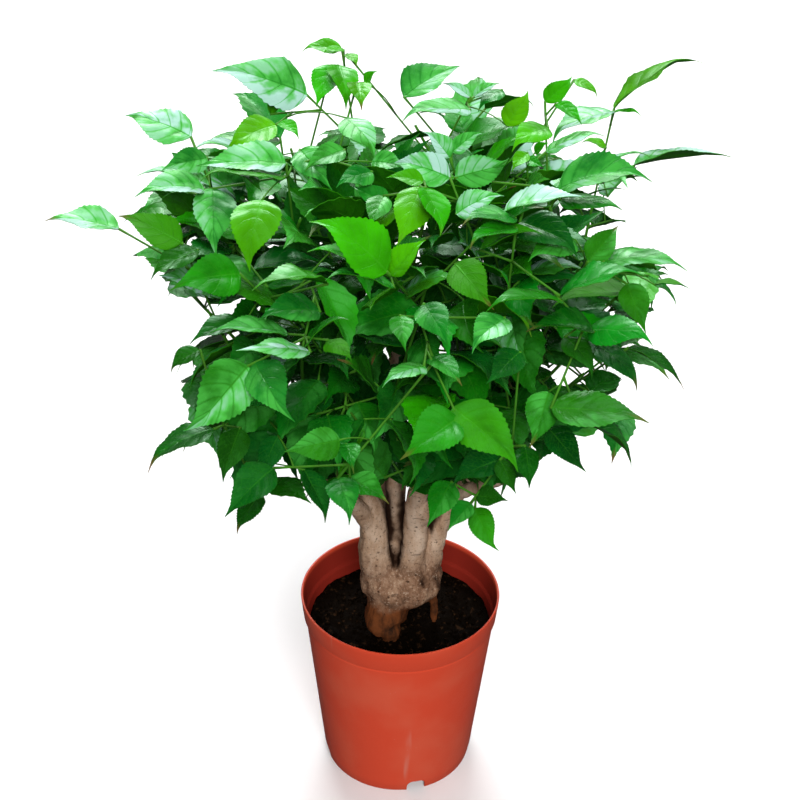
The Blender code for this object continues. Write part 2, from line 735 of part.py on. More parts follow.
def grow_sprays(crown, limit):
    """Sprays all over the crown, each time where the widest gaps are, until there are enough."""
    dice = random.Random(SEED + 1)
    count = sum(len(grown) for grown in crown.leaflets)
    for spacing in SPRAY_SPACINGS:
        for k in range(SPRAY_TARGETS):
            height = 0.97 - 1.80 * (k + 0.5) / SPRAY_TARGETS
            level = math.sqrt(1 - height**2)
            way = Vector((level * math.cos(k * GOLDEN_TURN), level * math.sin(k * GOLDEN_TURN), height))
            target = in_crown(way, SPRAY_SHELLS[k % len(SPRAY_SHELLS)])
            if min((target - middle).length for middle in crown.middles) < spacing:
                continue
            droop = Vector((0.0, 0.0, -0.30))
            out = way + droop + Vector(dice.uniform(-0.3, 0.3) for _ in range(3))
            count += grow_spray(crown, target, out, SEED * 100000 + k * 10, dice)
            if count >= limit:
                return


def grown_crown(paths):
    crown = Crown(paths.values())
    grow_stems(crown, paths)
    crown.missed = grow_leaflets_in_view(crown)
    grow_sprays(crown, LEAFLET_COUNT)
    return crown


# Building the solids


def fused(base, others, solver="EXACT"):
    """Join the objects of a collection to one object by a Boolean union, and remove them."""
    union = base.modifiers.new("Union", "BOOLEAN")
    union.operation = "UNION"
    union.operand_type = "COLLECTION"
    union.collection = others
    union.solver = solver
    done = bpy.data.meshes.new_from_object(base.evaluated_get(bpy.context.evaluated_depsgraph_get()))
    base.modifiers.clear()
    base.data = done
    for used in list(others.objects):
        bpy.data.objects.remove(used, do_unlink=True)
    bpy.data.collections.remove(others)


def cut(base, cutter):
    """Cut one object out of another, and keep the cutter as a guide."""
    cutter.hide_render = True
    cutter.display_type = "WIRE"
    hole = base.modifiers.new(cutter.name, "BOOLEAN")
    hole.operation = "DIFFERENCE"
    hole.object = cutter


def tube_mesh(name, points, sizes, resolution=2):
    """A closed tube along the points, as a mesh."""
    curve = bpy.data.curves.new(name, "CURVE")
    curve.dimensions = "3D"
    curve.bevel_depth = 1.0
    curve.bevel_resolution = resolution
    curve.use_fill_caps = True
    line = curve.splines.new("POLY")
    line.points.add(len(points) - 1)
    for spot, point, size in zip(line.points, points, sizes):
        spot.co = (*point, 1.0)
        spot.radius = size
    holder = bpy.data.objects.new(name, curve)
    bpy.context.scene.collection.objects.link(holder)
    mesh = bpy.data.meshes.new_from_object(holder.evaluated_get(bpy.context.evaluated_depsgraph_get()))
    bpy.data.objects.remove(holder, do_unlink=True)
    bm = bmesh.new()
    bm.from_mesh(mesh)
    bmesh.ops.remove_doubles(bm, verts=bm.verts, dist=0.00001)
    bm.to_mesh(mesh)
    bm.free()
    return mesh


def turned_mesh(profile):
    """A profile line in the XZ plane, ready for a Screw modifier."""
    bm = bmesh.new()
    spots = [bm.verts.new((x, 0.0, z)) for x, z in profile]
    for a, b in zip(spots, spots[1:]):
        bm.edges.new((a, b))
    return mesh_from(bm, "profile")


def turn(made, sides):
    screw = made.modifiers.new("Turned", "SCREW")
    screw.steps = sides
    screw.render_steps = sides
    screw.use_merge_vertices = True
    screw.merge_threshold = 0.00001
    screw.use_smooth_shade = True


def pot_radius(height):
    """The outer radius of the wall below the rim band."""
    top = POT_RIM_RADIUS - RIM_BAND_STEP
    return POT_FOOT_RADIUS + (top - POT_FOOT_RADIUS) * height / POT_HEIGHT


def build_pot(collection, guides):
    """A thin wall with a banded rim, a raised floor and a notched foot."""
    band_foot = POT_HEIGHT - RIM_BAND_HEIGHT
    floor = POT_FLOOR_HEIGHT
    foot = POT_FOOT_RADIUS - POT_FOOT_TUCK
    profile = (
        (0.0, floor),
        (foot - POT_WALL - POT_FOOT_TUCK * 4, floor),
        (foot - POT_WALL, floor - 0.003),
        (foot - POT_WALL, 0.0),
        (foot, 0.0),
        (pot_radius(floor), floor),
        (pot_radius(band_foot), band_foot - 0.0015),
        (pot_radius(band_foot) + RIM_BAND_STEP, band_foot),
        (POT_RIM_RADIUS, POT_HEIGHT - POT_LIP),
        (POT_RIM_RADIUS - POT_WALL / 2, POT_HEIGHT),
        (POT_RIM_RADIUS - POT_WALL, POT_HEIGHT - POT_LIP),
        (pot_radius(band_foot) - POT_WALL + RIM_BAND_STEP * 0.8, band_foot),
        (pot_radius(band_foot - 0.004) - POT_WALL, band_foot - 0.004),
        (pot_radius(floor + POT_CORNER) - POT_WALL, floor + POT_CORNER),
        (pot_radius(floor) - POT_WALL - POT_CORNER / 2, floor + POT_WALL),
        (0.0, floor + POT_WALL),
    )
    paint = material("red plastic", (0.49, 0.06, 0.03), 0.42)
    pot = new_object("pot", turned_mesh(profile), collection, paint)
    turn(pot, POT_SIDES)
    for number, angle in enumerate(FOOT_NOTCH_TURNS):
        around = math.radians(angle - 90.0)
        bm = bmesh.new()
        bmesh.ops.create_cube(bm, size=1.0)
        notch = new_object(f"notch {number}", mesh_from(bm, "notch"), guides)
        size = (FOOT_NOTCH_DEPTH, FOOT_NOTCH_WIDTH, 2 * FOOT_NOTCH_HEIGHT, 1.0)
        notch.data.transform(Matrix.Diagonal(size))
        notch.location = (POT_FOOT_RADIUS * math.cos(around), POT_FOOT_RADIUS * math.sin(around), 0.0)
        notch.rotation_euler = (0.0, 0.0, around)
        cut(pot, notch)
    return pot


def build_soil(collection, guides):
    """The soil fills the pot from its floor, with a lumpy top and a hole for each root."""
    wall = POT_WALL + CLEARANCE + 0.0002
    floor = POT_FLOOR_HEIGHT + POT_WALL + CLEARANCE
    top_radius = pot_radius(SOIL_HEIGHT) - wall
    profile = [
        (0.0, floor),
        (pot_radius(floor) - wall - POT_CORNER / 2, floor),
        (pot_radius(floor + POT_CORNER) - wall, floor + POT_CORNER),
        (top_radius, SOIL_HEIGHT - 0.004),
    ]
    profile += [(top_radius * part, SOIL_HEIGHT) for part in (0.86, 0.68, 0.50, 0.30, 0.0)]
    paint = material("potting soil", (0.012, 0.008, 0.005), 0.95)
    soil = new_object("soil", turned_mesh(profile), collection, paint)
    turn(soil, POT_SIDES)
    solid = bpy.data.meshes.new_from_object(soil.evaluated_get(bpy.context.evaluated_depsgraph_get()))
    soil.modifiers.clear()
    soil.data = solid
    dice = random.Random(SEED + 2)
    bm = bmesh.new()
    bm.from_mesh(solid)
    for vertex in bm.verts:
        if vertex.co.z > SOIL_HEIGHT - 0.001:
            vertex.co.z += dice.uniform(-SOIL_LUMP, SOIL_LUMP)
    bmesh.ops.triangulate(bm, faces=bm.faces)
    bm.to_mesh(solid)
    bm.free()
    for name, places in ROOTS.items():
        peg = places[-1]
        bm = bmesh.new()
        foot = Vector(peg[:3]) - Vector((0.0, 0.0, CLEARANCE))
        radius = (peg[3] + CLEARANCE) / math.cos(math.pi / 16)
        add_rod(bm, foot, Vector((foot.x, foot.y, SOIL_HEIGHT + 0.02)), radius, radius, 16)
        hole = new_object(f"hole for {name}", mesh_from(bm, "hole"), guides)
        cut(soil, hole)
    return soil


def build_trunk(collection, paths):
    """A knot of old wood that stands on its roots and divides into the limbs."""
    paint = material("bark", (0.19, 0.105, 0.062), 0.85)
    bm = bmesh.new()
    bmesh.ops.create_icosphere(bm, subdivisions=2, radius=1.0)
    dice = random.Random(SEED + 3)
    for vertex in bm.verts:
        swell = dice.uniform(0.94, 1.05)
        vertex.co = Vector(vertex.co[i] * KNOT_REACH[i] * swell for i in range(3)) + KNOT_MIDDLE
    trunk = new_object("trunk", mesh_from(bm, "trunk"), collection, paint)
    pieces = bpy.data.collections.new("limbs and roots")
    bpy.context.scene.collection.children.link(pieces)
    for name, path in paths.items():
        mesh = tube_mesh(name, [p for p, _ in path], [r for _, r in path])
        new_object(name, mesh, pieces)
    for name, places in ROOTS.items():
        mesh = tube_mesh(name, [p[:3] for p in places], [p[3] for p in places])
        new_object(name, mesh, pieces)
    fused(trunk, pieces)
    return trunk


def build_leafy_stem(collection, paint, crown, shoot):
    """One stem with its twigs and leaflets, fused in one body."""
    name = f"leafy_stem_{shoot + 1:02d}"
    path = crown.stems[shoot]
    sizes = [STEM_RADIUS * (1.0 - 0.45 * k / (len(path) - 1)) for k in range(len(path))]
    stem = new_object(name, tube_mesh(name, path, sizes, 0), collection, paint)
    pieces = bpy.data.collections.new(f"pieces of {name}")
    bpy.context.scene.collection.children.link(pieces)
    for number, twig in enumerate(crown.twigs[shoot]):
        bm = bmesh.new()
        add_rod(bm, twig.start, twig.end, twig.radius, twig.radius * 0.8)
        new_object(f"{name} twig {number}", mesh_from(bm, "twig"), pieces)
    for number, leaflet in enumerate(crown.leaflets[shoot]):
        bm = bmesh.new()
        add_blade(bm, leaflet)
        new_object(f"{name} leaflet {number}", mesh_from(bm, "leaflet"), pieces)
    fused(stem, pieces)
    return stem


def main():
    clear_scene()
    scene = bpy.context.scene.collection
    plant = bpy.data.collections.new("china_doll_plant")
    guides = bpy.data.collections.new("cutters")
    scene.children.link(plant)
    scene.children.link(guides)
    build_pot(plant, guides)
    build_soil(plant, guides)
    paths = limb_paths()
    build_trunk(plant, paths)
    crown = grown_crown(paths)
    green = material("green leaf", (0.03, 0.21, 0.02), 0.28)
    for shoot in range(SHOOT_COUNT):
        build_leafy_stem(plant, green, crown, shoot)
    return crown


if __name__ == "__main__":
    main()
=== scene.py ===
"""The china doll plant as it looks: pot, soil, trunk and leafy stems, made finely round its frame.

Laid out as an add-on and run as a script. Metres, +Z up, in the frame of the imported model. The
crown grows by the rules of the model's source, so each fine stem keeps the form of its node.
"""

import math
import random
from collections import namedtuple

import bmesh
import bpy
import numpy as np
from bpy.props import FloatProperty, FloatVectorProperty, IntProperty, PointerProperty
from bpy.types import Operator, Panel, PropertyGroup
from mathutils import Euler, Matrix, Vector, noise
from mathutils.bvhtree import BVHTree


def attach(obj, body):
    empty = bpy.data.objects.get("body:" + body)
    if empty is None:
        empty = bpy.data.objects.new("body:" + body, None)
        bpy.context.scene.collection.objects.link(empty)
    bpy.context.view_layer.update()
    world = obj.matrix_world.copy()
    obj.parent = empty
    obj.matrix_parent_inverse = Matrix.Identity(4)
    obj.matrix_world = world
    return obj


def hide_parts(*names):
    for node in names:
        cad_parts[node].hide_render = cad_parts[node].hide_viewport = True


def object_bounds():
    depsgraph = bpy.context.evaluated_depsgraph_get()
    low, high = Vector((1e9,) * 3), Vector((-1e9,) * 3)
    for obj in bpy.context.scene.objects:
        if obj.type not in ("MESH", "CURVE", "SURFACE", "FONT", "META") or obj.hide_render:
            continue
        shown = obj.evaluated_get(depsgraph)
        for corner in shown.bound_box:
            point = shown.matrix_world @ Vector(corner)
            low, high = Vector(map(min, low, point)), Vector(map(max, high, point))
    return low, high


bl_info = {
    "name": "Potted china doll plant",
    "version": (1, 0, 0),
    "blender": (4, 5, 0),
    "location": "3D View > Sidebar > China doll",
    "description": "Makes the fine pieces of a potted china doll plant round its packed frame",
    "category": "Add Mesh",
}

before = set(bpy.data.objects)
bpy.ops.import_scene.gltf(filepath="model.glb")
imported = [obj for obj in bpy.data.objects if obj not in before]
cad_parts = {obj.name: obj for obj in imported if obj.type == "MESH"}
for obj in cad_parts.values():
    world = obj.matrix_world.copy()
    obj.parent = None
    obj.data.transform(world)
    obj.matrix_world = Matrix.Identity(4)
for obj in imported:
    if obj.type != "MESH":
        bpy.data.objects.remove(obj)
CAD_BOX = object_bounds()
BODY = "root"
TINY = 0.000001

# The pot and its soil
POT_HEIGHT = 0.202
POT_RIM_RADIUS = 0.100
POT_FOOT_RADIUS = 0.0765
POT_WALL = 0.0022
POT_FLOOR_HEIGHT = 0.013
RIM_BAND_HEIGHT = 0.023
RIM_BAND_STEP = 0.0022
POT_LIP = 0.001
POT_CORNER = 0.008
POT_FOOT_TUCK = 0.001
FOOT_NOTCH_WIDTH = 0.019
FOOT_NOTCH_HEIGHT = 0.0128
FOOT_NOTCH_DEPTH = 0.014
FOOT_NOTCH_TURNS = (-75.0, 15.0, 105.0, 195.0)
FOOT_NOTCH_ROUNDING = 0.0060
FOOT_RING_STEP = 0.003
BAND_GROOVE_HEIGHT = 0.0040
BAND_GROOVE_DEPTH = 0.0008
BAND_LEDGE = 0.0006
RIM_TAPER = 0.0003
SOIL_HEIGHT = 0.168
SOIL_EDGE_DROP = 0.002
SOIL_RINGS = 46
SOIL_TURN_STEPS = 180
CLEARANCE = 0.0003

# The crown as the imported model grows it
CROWN_MIDDLE = Vector((0.0, 0.010, 0.53))
CROWN_REACH = Vector((0.300, 0.295, 0.215))
SHOOT_COUNT = 30
SHOOT_REACH = 0.68
STEM_RADIUS = 0.0024
TWIG_RADIUS = 0.0013
TWIG_OVERLAP = 0.0006
SEAT_REACH = 0.008
STEM_LEAFLETS = 13
LEAFLET_LENGTH = 0.076
SMALL_LEAFLET = 0.036
LEAFLET_WIDTH = 0.60
LEAFLET_COUNT = 210
BLADE_THICKNESS = 0.0007
BLADE_ROOM = 0.0025
LIMB_STEPS = 1
BLADE_ARCH = (0.02, 0.09)
BLADE_WAVE = (0.015, 0.035)
BLADE_FOLD = (-0.15, 0.30)
BLADE_LEAN = 0.25
BLADE_ROLL = 0.4
WAVE_PITCH = 9.0
WAVE_SKEW = 2.0
WIDTH_CHANGE = 0.05
TWIG_TAPER = 0.8
STEM_ROOM = 1.6
BUD_CHOICES = 6
SWAY_TRIES = 12
SWAY = 0.02
STEM_FOOT = 0.006
STEM_LIFT = 0.10
STEM_BENDS = (0.55, 0.4)
SHOOT_TOP = 0.98
SHOOT_FALL = 1.22
SHOOT_TURN = 0.6
FORK_LIMIT = 0.92
FORK_SLANT = 0.4
SPRAY_TARGETS = 260
SPRAY_TOP = 0.97
SPRAY_FALL = 1.80
SPRAY_BARE = 0.8
SPRAY_SHELLS = (0.93, 0.86, 0.62)
SPRAY_SPACINGS = (0.080, 0.068, 0.056, 0.046, 0.038, 0.032)
SPRAY_PAIRS = ((0.004, 1.05, 0.88), (0.034, 1.25, 0.78))
SPRAY_REACH = 0.03
SPRAY_LENGTHS = (0.80, 1.12)
SPRAY_SIZES = (0.88, 1.1)
SPRAY_RISE = (-0.3, 0.1)
SPRAY_ROLL = 0.35
SPRAY_SPREAD = 0.3
DROOP = Vector((0.0, 0.0, -0.30))
DEPTH_SHIFTS = (0.0, 0.008, -0.008, 0.016, -0.016, 0.026, -0.026, 0.038, 0.05)
GOLDEN_TURN = math.pi * (3 - math.sqrt(5))
SEED = 11
SEEN_SEED = SEED * 1000
SPRAY_SEED = 100000

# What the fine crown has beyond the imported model: smaller sprays in the gaps and further in
FILL_TARGETS = 520
FILL_SHELLS = (0.90, 0.80, 0.68, 0.52, 0.38)
FILL_SPACINGS = (0.040, 0.034, 0.029, 0.025, 0.021)
FILL_ROOM = 90
BLADE_NEAR = 0.0011
SOLIDS_AT_MOST = 6000

# Lines right through the crown that should meet a leaflet: the ways round and up in degrees that
# they come from, how far apart they are, and how many places are tried for a leaflet on each
GAP_LINES = (
    (0.0, 31.5), (0.0, 31.5), (180.0, 20.0), (90.0, 20.0), (-90.0, 20.0), (45.0, 25.0), (-45.0, 25.0),
    (135.0, 20.0), (-135.0, 20.0), (0.0, 80.0),
)
GAP_SPACING = 0.011
GAP_REACH = 0.86
GAP_TRIES = 7
GAP_LEAFLET = 0.064
GAP_LEAFLET_SIZES = (0.8, 1.15)
GAP_DEPTHS = (0.12, 0.75)
GAP_SPREAD = 0.7
GAP_DROOP = Vector((0.0, 0.0, 0.35))
GAP_ASIDE = 0.6
GAP_FACE = Vector((0.0, 0.0, 0.7))
GAP_FACE_OUT = 0.3
BEYOND_CROWN = 0.6

# The camera, which is also the sight lines that place the leaflets it shows
VIEW_CENTRE = 400.0
VIEW_FOCAL = 1600.0
VIEW_PLACE = Vector((-0.0036, -1.276, 1.209))
VIEW_PITCH = math.radians(31.5)
VIEW_ROLL = math.radians(1.0)
VIEW_SENSOR = 36.0
VIEW_WIDTH = 800.0

# The floor, which sweeps up into a low wall all round
FLOOR_RADIUS = 18.0
FLOOR_SWEEP = 5.0
WALL_HEIGHT = 8.0
FLOOR_SWEEP_STEPS = 12
FLOOR_TURN_STEPS = 96

# A limb of the trunk is a list of places with the bark's radius there
LIMBS = {
    "left": (
        (-0.018, -0.010, 0.216, 0.0185), (-0.026, -0.013, 0.260, 0.0155),
        (-0.030, -0.012, 0.305, 0.0130), (-0.056, -0.006, 0.362, 0.0088),
        (-0.098, -0.004, 0.425, 0.0060),
    ),
    "left_fork": (
        (-0.031, -0.014, 0.296, 0.0098), (-0.050, -0.045, 0.345, 0.0070),
        (-0.072, -0.088, 0.395, 0.0050),
    ),
    "middle": (
        (0.006, -0.010, 0.218, 0.0160), (0.012, -0.014, 0.262, 0.0130),
        (0.014, -0.014, 0.305, 0.0122), (0.017, -0.034, 0.365, 0.0084),
        (0.022, -0.070, 0.425, 0.0055),
    ),
    "middle_fork": (
        (0.015, -0.014, 0.300, 0.0090), (0.050, -0.046, 0.352, 0.0070),
        (0.088, -0.086, 0.398, 0.0050),
    ),
    "right": (
        (0.022, 0.000, 0.216, 0.0160), (0.031, -0.002, 0.258, 0.0118),
        (0.041, 0.001, 0.298, 0.0104), (0.075, 0.006, 0.355, 0.0082),
        (0.125, 0.012, 0.412, 0.0058),
    ),
    "back_left": (
        (-0.010, 0.012, 0.218, 0.0140), (-0.014, 0.030, 0.268, 0.0108),
        (-0.021, 0.046, 0.315, 0.0092), (-0.046, 0.078, 0.372, 0.0072),
        (-0.074, 0.112, 0.432, 0.0052),
    ),
    "back_right": (
        (0.010, 0.014, 0.218, 0.0135), (0.018, 0.034, 0.270, 0.0108),
        (0.030, 0.054, 0.318, 0.0092), (0.058, 0.084, 0.372, 0.0072),
        (0.086, 0.114, 0.432, 0.0052),
    ),
    "leader": (
        (-0.002, 0.002, 0.222, 0.0140), (-0.005, 0.007, 0.280, 0.0115),
        (-0.008, 0.012, 0.340, 0.0100), (-0.012, 0.020, 0.410, 0.0085),
        (-0.004, 0.028, 0.480, 0.0065), (0.004, 0.030, 0.540, 0.0048),
    ),
}
ROOTS = {
    "main_root": (
        (-0.008, -0.006, 0.212, 0.0230), (-0.013, -0.019, 0.194, 0.0225),
        (-0.012, -0.029, 0.181, 0.0185), (-0.009, -0.032, 0.173, 0.0092),
        (-0.009, -0.032, 0.146, 0.0092),
    ),
    "thin_root": (
        (0.028, -0.002, 0.210, 0.0070), (0.034, -0.005, 0.192, 0.0040),
        (0.035, -0.006, 0.178, 0.0032), (0.035, -0.006, 0.152, 0.0032),
    ),
    "back_root": (
        (0.004, 0.010, 0.212, 0.0200), (0.010, 0.026, 0.192, 0.0150),
        (0.012, 0.032, 0.178, 0.0110), (0.012, 0.032, 0.148, 0.0110),
    ),
}
KNOT_MIDDLE = Vector((0.0005, -0.003, 0.219))
KNOT_REACH = Vector((0.0410, 0.036, 0.027))
LIMB_SIDES = 8
FINE_LIMB_SIDES = 20
FINE_LIMB_STEPS = 7
BUD_FRACTIONS = (0.50, 0.64, 0.78, 0.90, 1.0)

# Half widths of a plain leaflet from its tip to its base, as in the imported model
LEAFLET_OUTLINE = ((1.0, 0.0), (0.80, 0.36), (0.50, 1.0), (0.18, 0.80), (0.0, 0.0))
PLAIN_OUTLINE = ((1.0, 0.0), (0.60, 0.90), (0.20, 0.90), (0.0, 0.0))
LEAFLET_HEART = 0.42

# Half widths of a fine leaflet from its base to its drawn-out tip
FINE_OUTLINE = (
    (0.0, 0.06), (0.04, 0.42), (0.10, 0.74), (0.20, 0.96), (0.31, 1.0), (0.43, 0.95),
    (0.55, 0.79), (0.65, 0.58), (0.74, 0.37), (0.82, 0.19), (0.90, 0.085), (1.0, 0.012),
)
VEIN_PAIRS = 5
TIP_START = 0.70
TIP_STEP = 0.0625
UNDULATION = 0.022

# How far up a fine leaflet its veined rows end, at the midrib and at the edge, and how unevenly
# they lie there, how the rows bend forward between the two, and where the first row of the tip is
ROWS_AT_MIDRIB = (0.74, 1.35)
ROWS_AT_EDGE = (0.86, 1.4)
ROW_BEND = 1.35
TIP_ROW = 0.92

# How far a tooth leans forward, from how many teeth on they get shallow, how the edge ripples,
# and how the fields between the veins puff up and sink at the midrib
TOOTH_LEAN = 0.14
DEEP_TEETH = 8
RIPPLE_PITCH = 24.0
RIPPLE_START = 2.3
PUFF_FULLNESS = 0.6
PUFF_PART = 0.5
MIDRIB_SINK = 0.55
UNDULATION_PITCH = (1.4, 3.2, 0.37)
GOLDEN_PART = 0.618034

# How fine leaflets vary: how unlike their halves are, how far the tip curls down and sweeps
# aside, how the halves bulge and the midrib creases, and how high the edge ripples
FINE_VARIETY = ((-0.07, 0.07), (0.3, 1.9), (-1.2, 1.2), (0.10, 0.30), (0.02, 0.16), (0.2, 0.5))

# Rows, columns and teeth of a leaflet that the view shows, and of one that fills the crown
SEEN_BLADE = (30, 8, 15)
FILLING_BLADE = (14, 4, 7)

# Fine stems and twigs: their sides, their steps and how they taper, swell and sag
STEM_SIDES = 8
STEM_STEPS = 6
STEM_TAPER = (0.95, 0.42)
STEM_COLLAR = (0.8, 7)
STEM_SINK = 0.005
TWIG_SIDES = 6
TWIG_STEPS = 5
TWIG_SAG = (0.02, 0.07)
TWIG_SWELL = 1.35
TWIG_PARTS = (0.50, 0.75)
TWIG_LEAN = 0.5
STEM_YOUTH = 0.5
WOODY_FADE = 1.5
TWIG_TONE = Vector((0.8, 0.08, 0.0))
SHORT_TWIG = 0.012
SHORTEST_TWIG = 0.002
ON_STEM = 0.0002
ON_TWIG = 0.0008

# Layers of lumps on the soil, each with its pitch to the metre and its height, how the soil
# shifts sideways and sinks at the wall, and how long, wide and high its crumbs are
SOIL_LUMPS = ((48.0, 1.0), (130.0, 0.55), (320.0, 0.35))
SOIL_CALM = 0.75
SOIL_SHIFT = 0.0012
SOIL_SHIFT_PITCH = 260.0
SOIL_STILL_EDGE = 0.003
SOIL_SINK = 0.0035
SOIL_SINK_FROM = 0.75
CLOD_SHAPES = ((0.6, 1.3), (0.5, 1.0), (0.35, 0.8))
CLOD_SIZES = (0.22, 0.78)
CLOD_MARGIN = 0.005
CLOD_DROP = 0.03
CLOD_DENT = 0.25

# The same for the bark's lumps, with the pitch each way and the height of its grain and wrinkles
BARK_LUMPS = ((48.0, 1.0), (120.0, 0.45))
BARK_GRAIN = (330.0, 330.0, 70.0)
BARK_WRINKLES = (70.0, 70.0, 420.0)
BARK_ROUGH = (300.0, 300.0, 300.0)
GRAIN_HEIGHT = 0.16
WRINKLE_HEIGHT = 0.14
ROUGH_HEIGHT = 0.2
WART_PITCH = 72.0
WART_SIZE = 0.32
WART_HEIGHT = 2.2
OLD_WOOD_TOP = 0.30
OLD_WOOD_FADE = 0.05
KNOT_SPAN = 0.055
KNOT_SWELL = 0.07
KNOT_SWELL_PITCH = 2.1
LIMB_END_STEPS = (0.004, 0.007)
LIMB_END_PART = 0.72
# Rays that measure how hidden each spot of the bark is, which the bark's finish paints as shade
HOLLOW_RAYS = 8
HOLLOW_START = 0.0008
HOLLOW_REACH = 0.026
HOLLOW_SPREAD = 0.85
HOLLOW_TOP = 0.36
EVEN_ROUNDS = 3
SHARP_EDGE = math.radians(38)
RIM_ANGLE = 0.12

# What the view shows of a leaflet: its base and tip in picture coordinates, how far its base lies inside
# the crown, how much nearer its tip is, how far it opens from edge-on, and its tone: y young, b bright, m
# middling, d dark, s with some painted sheen, p pale with painted sheen, o its underside
Sighting = namedtuple("Sighting", "base tip sink reach opening tone")


def sightings(*rows):
    return tuple(Sighting(row[:2], row[2:4], *row[4:]) for row in rows)


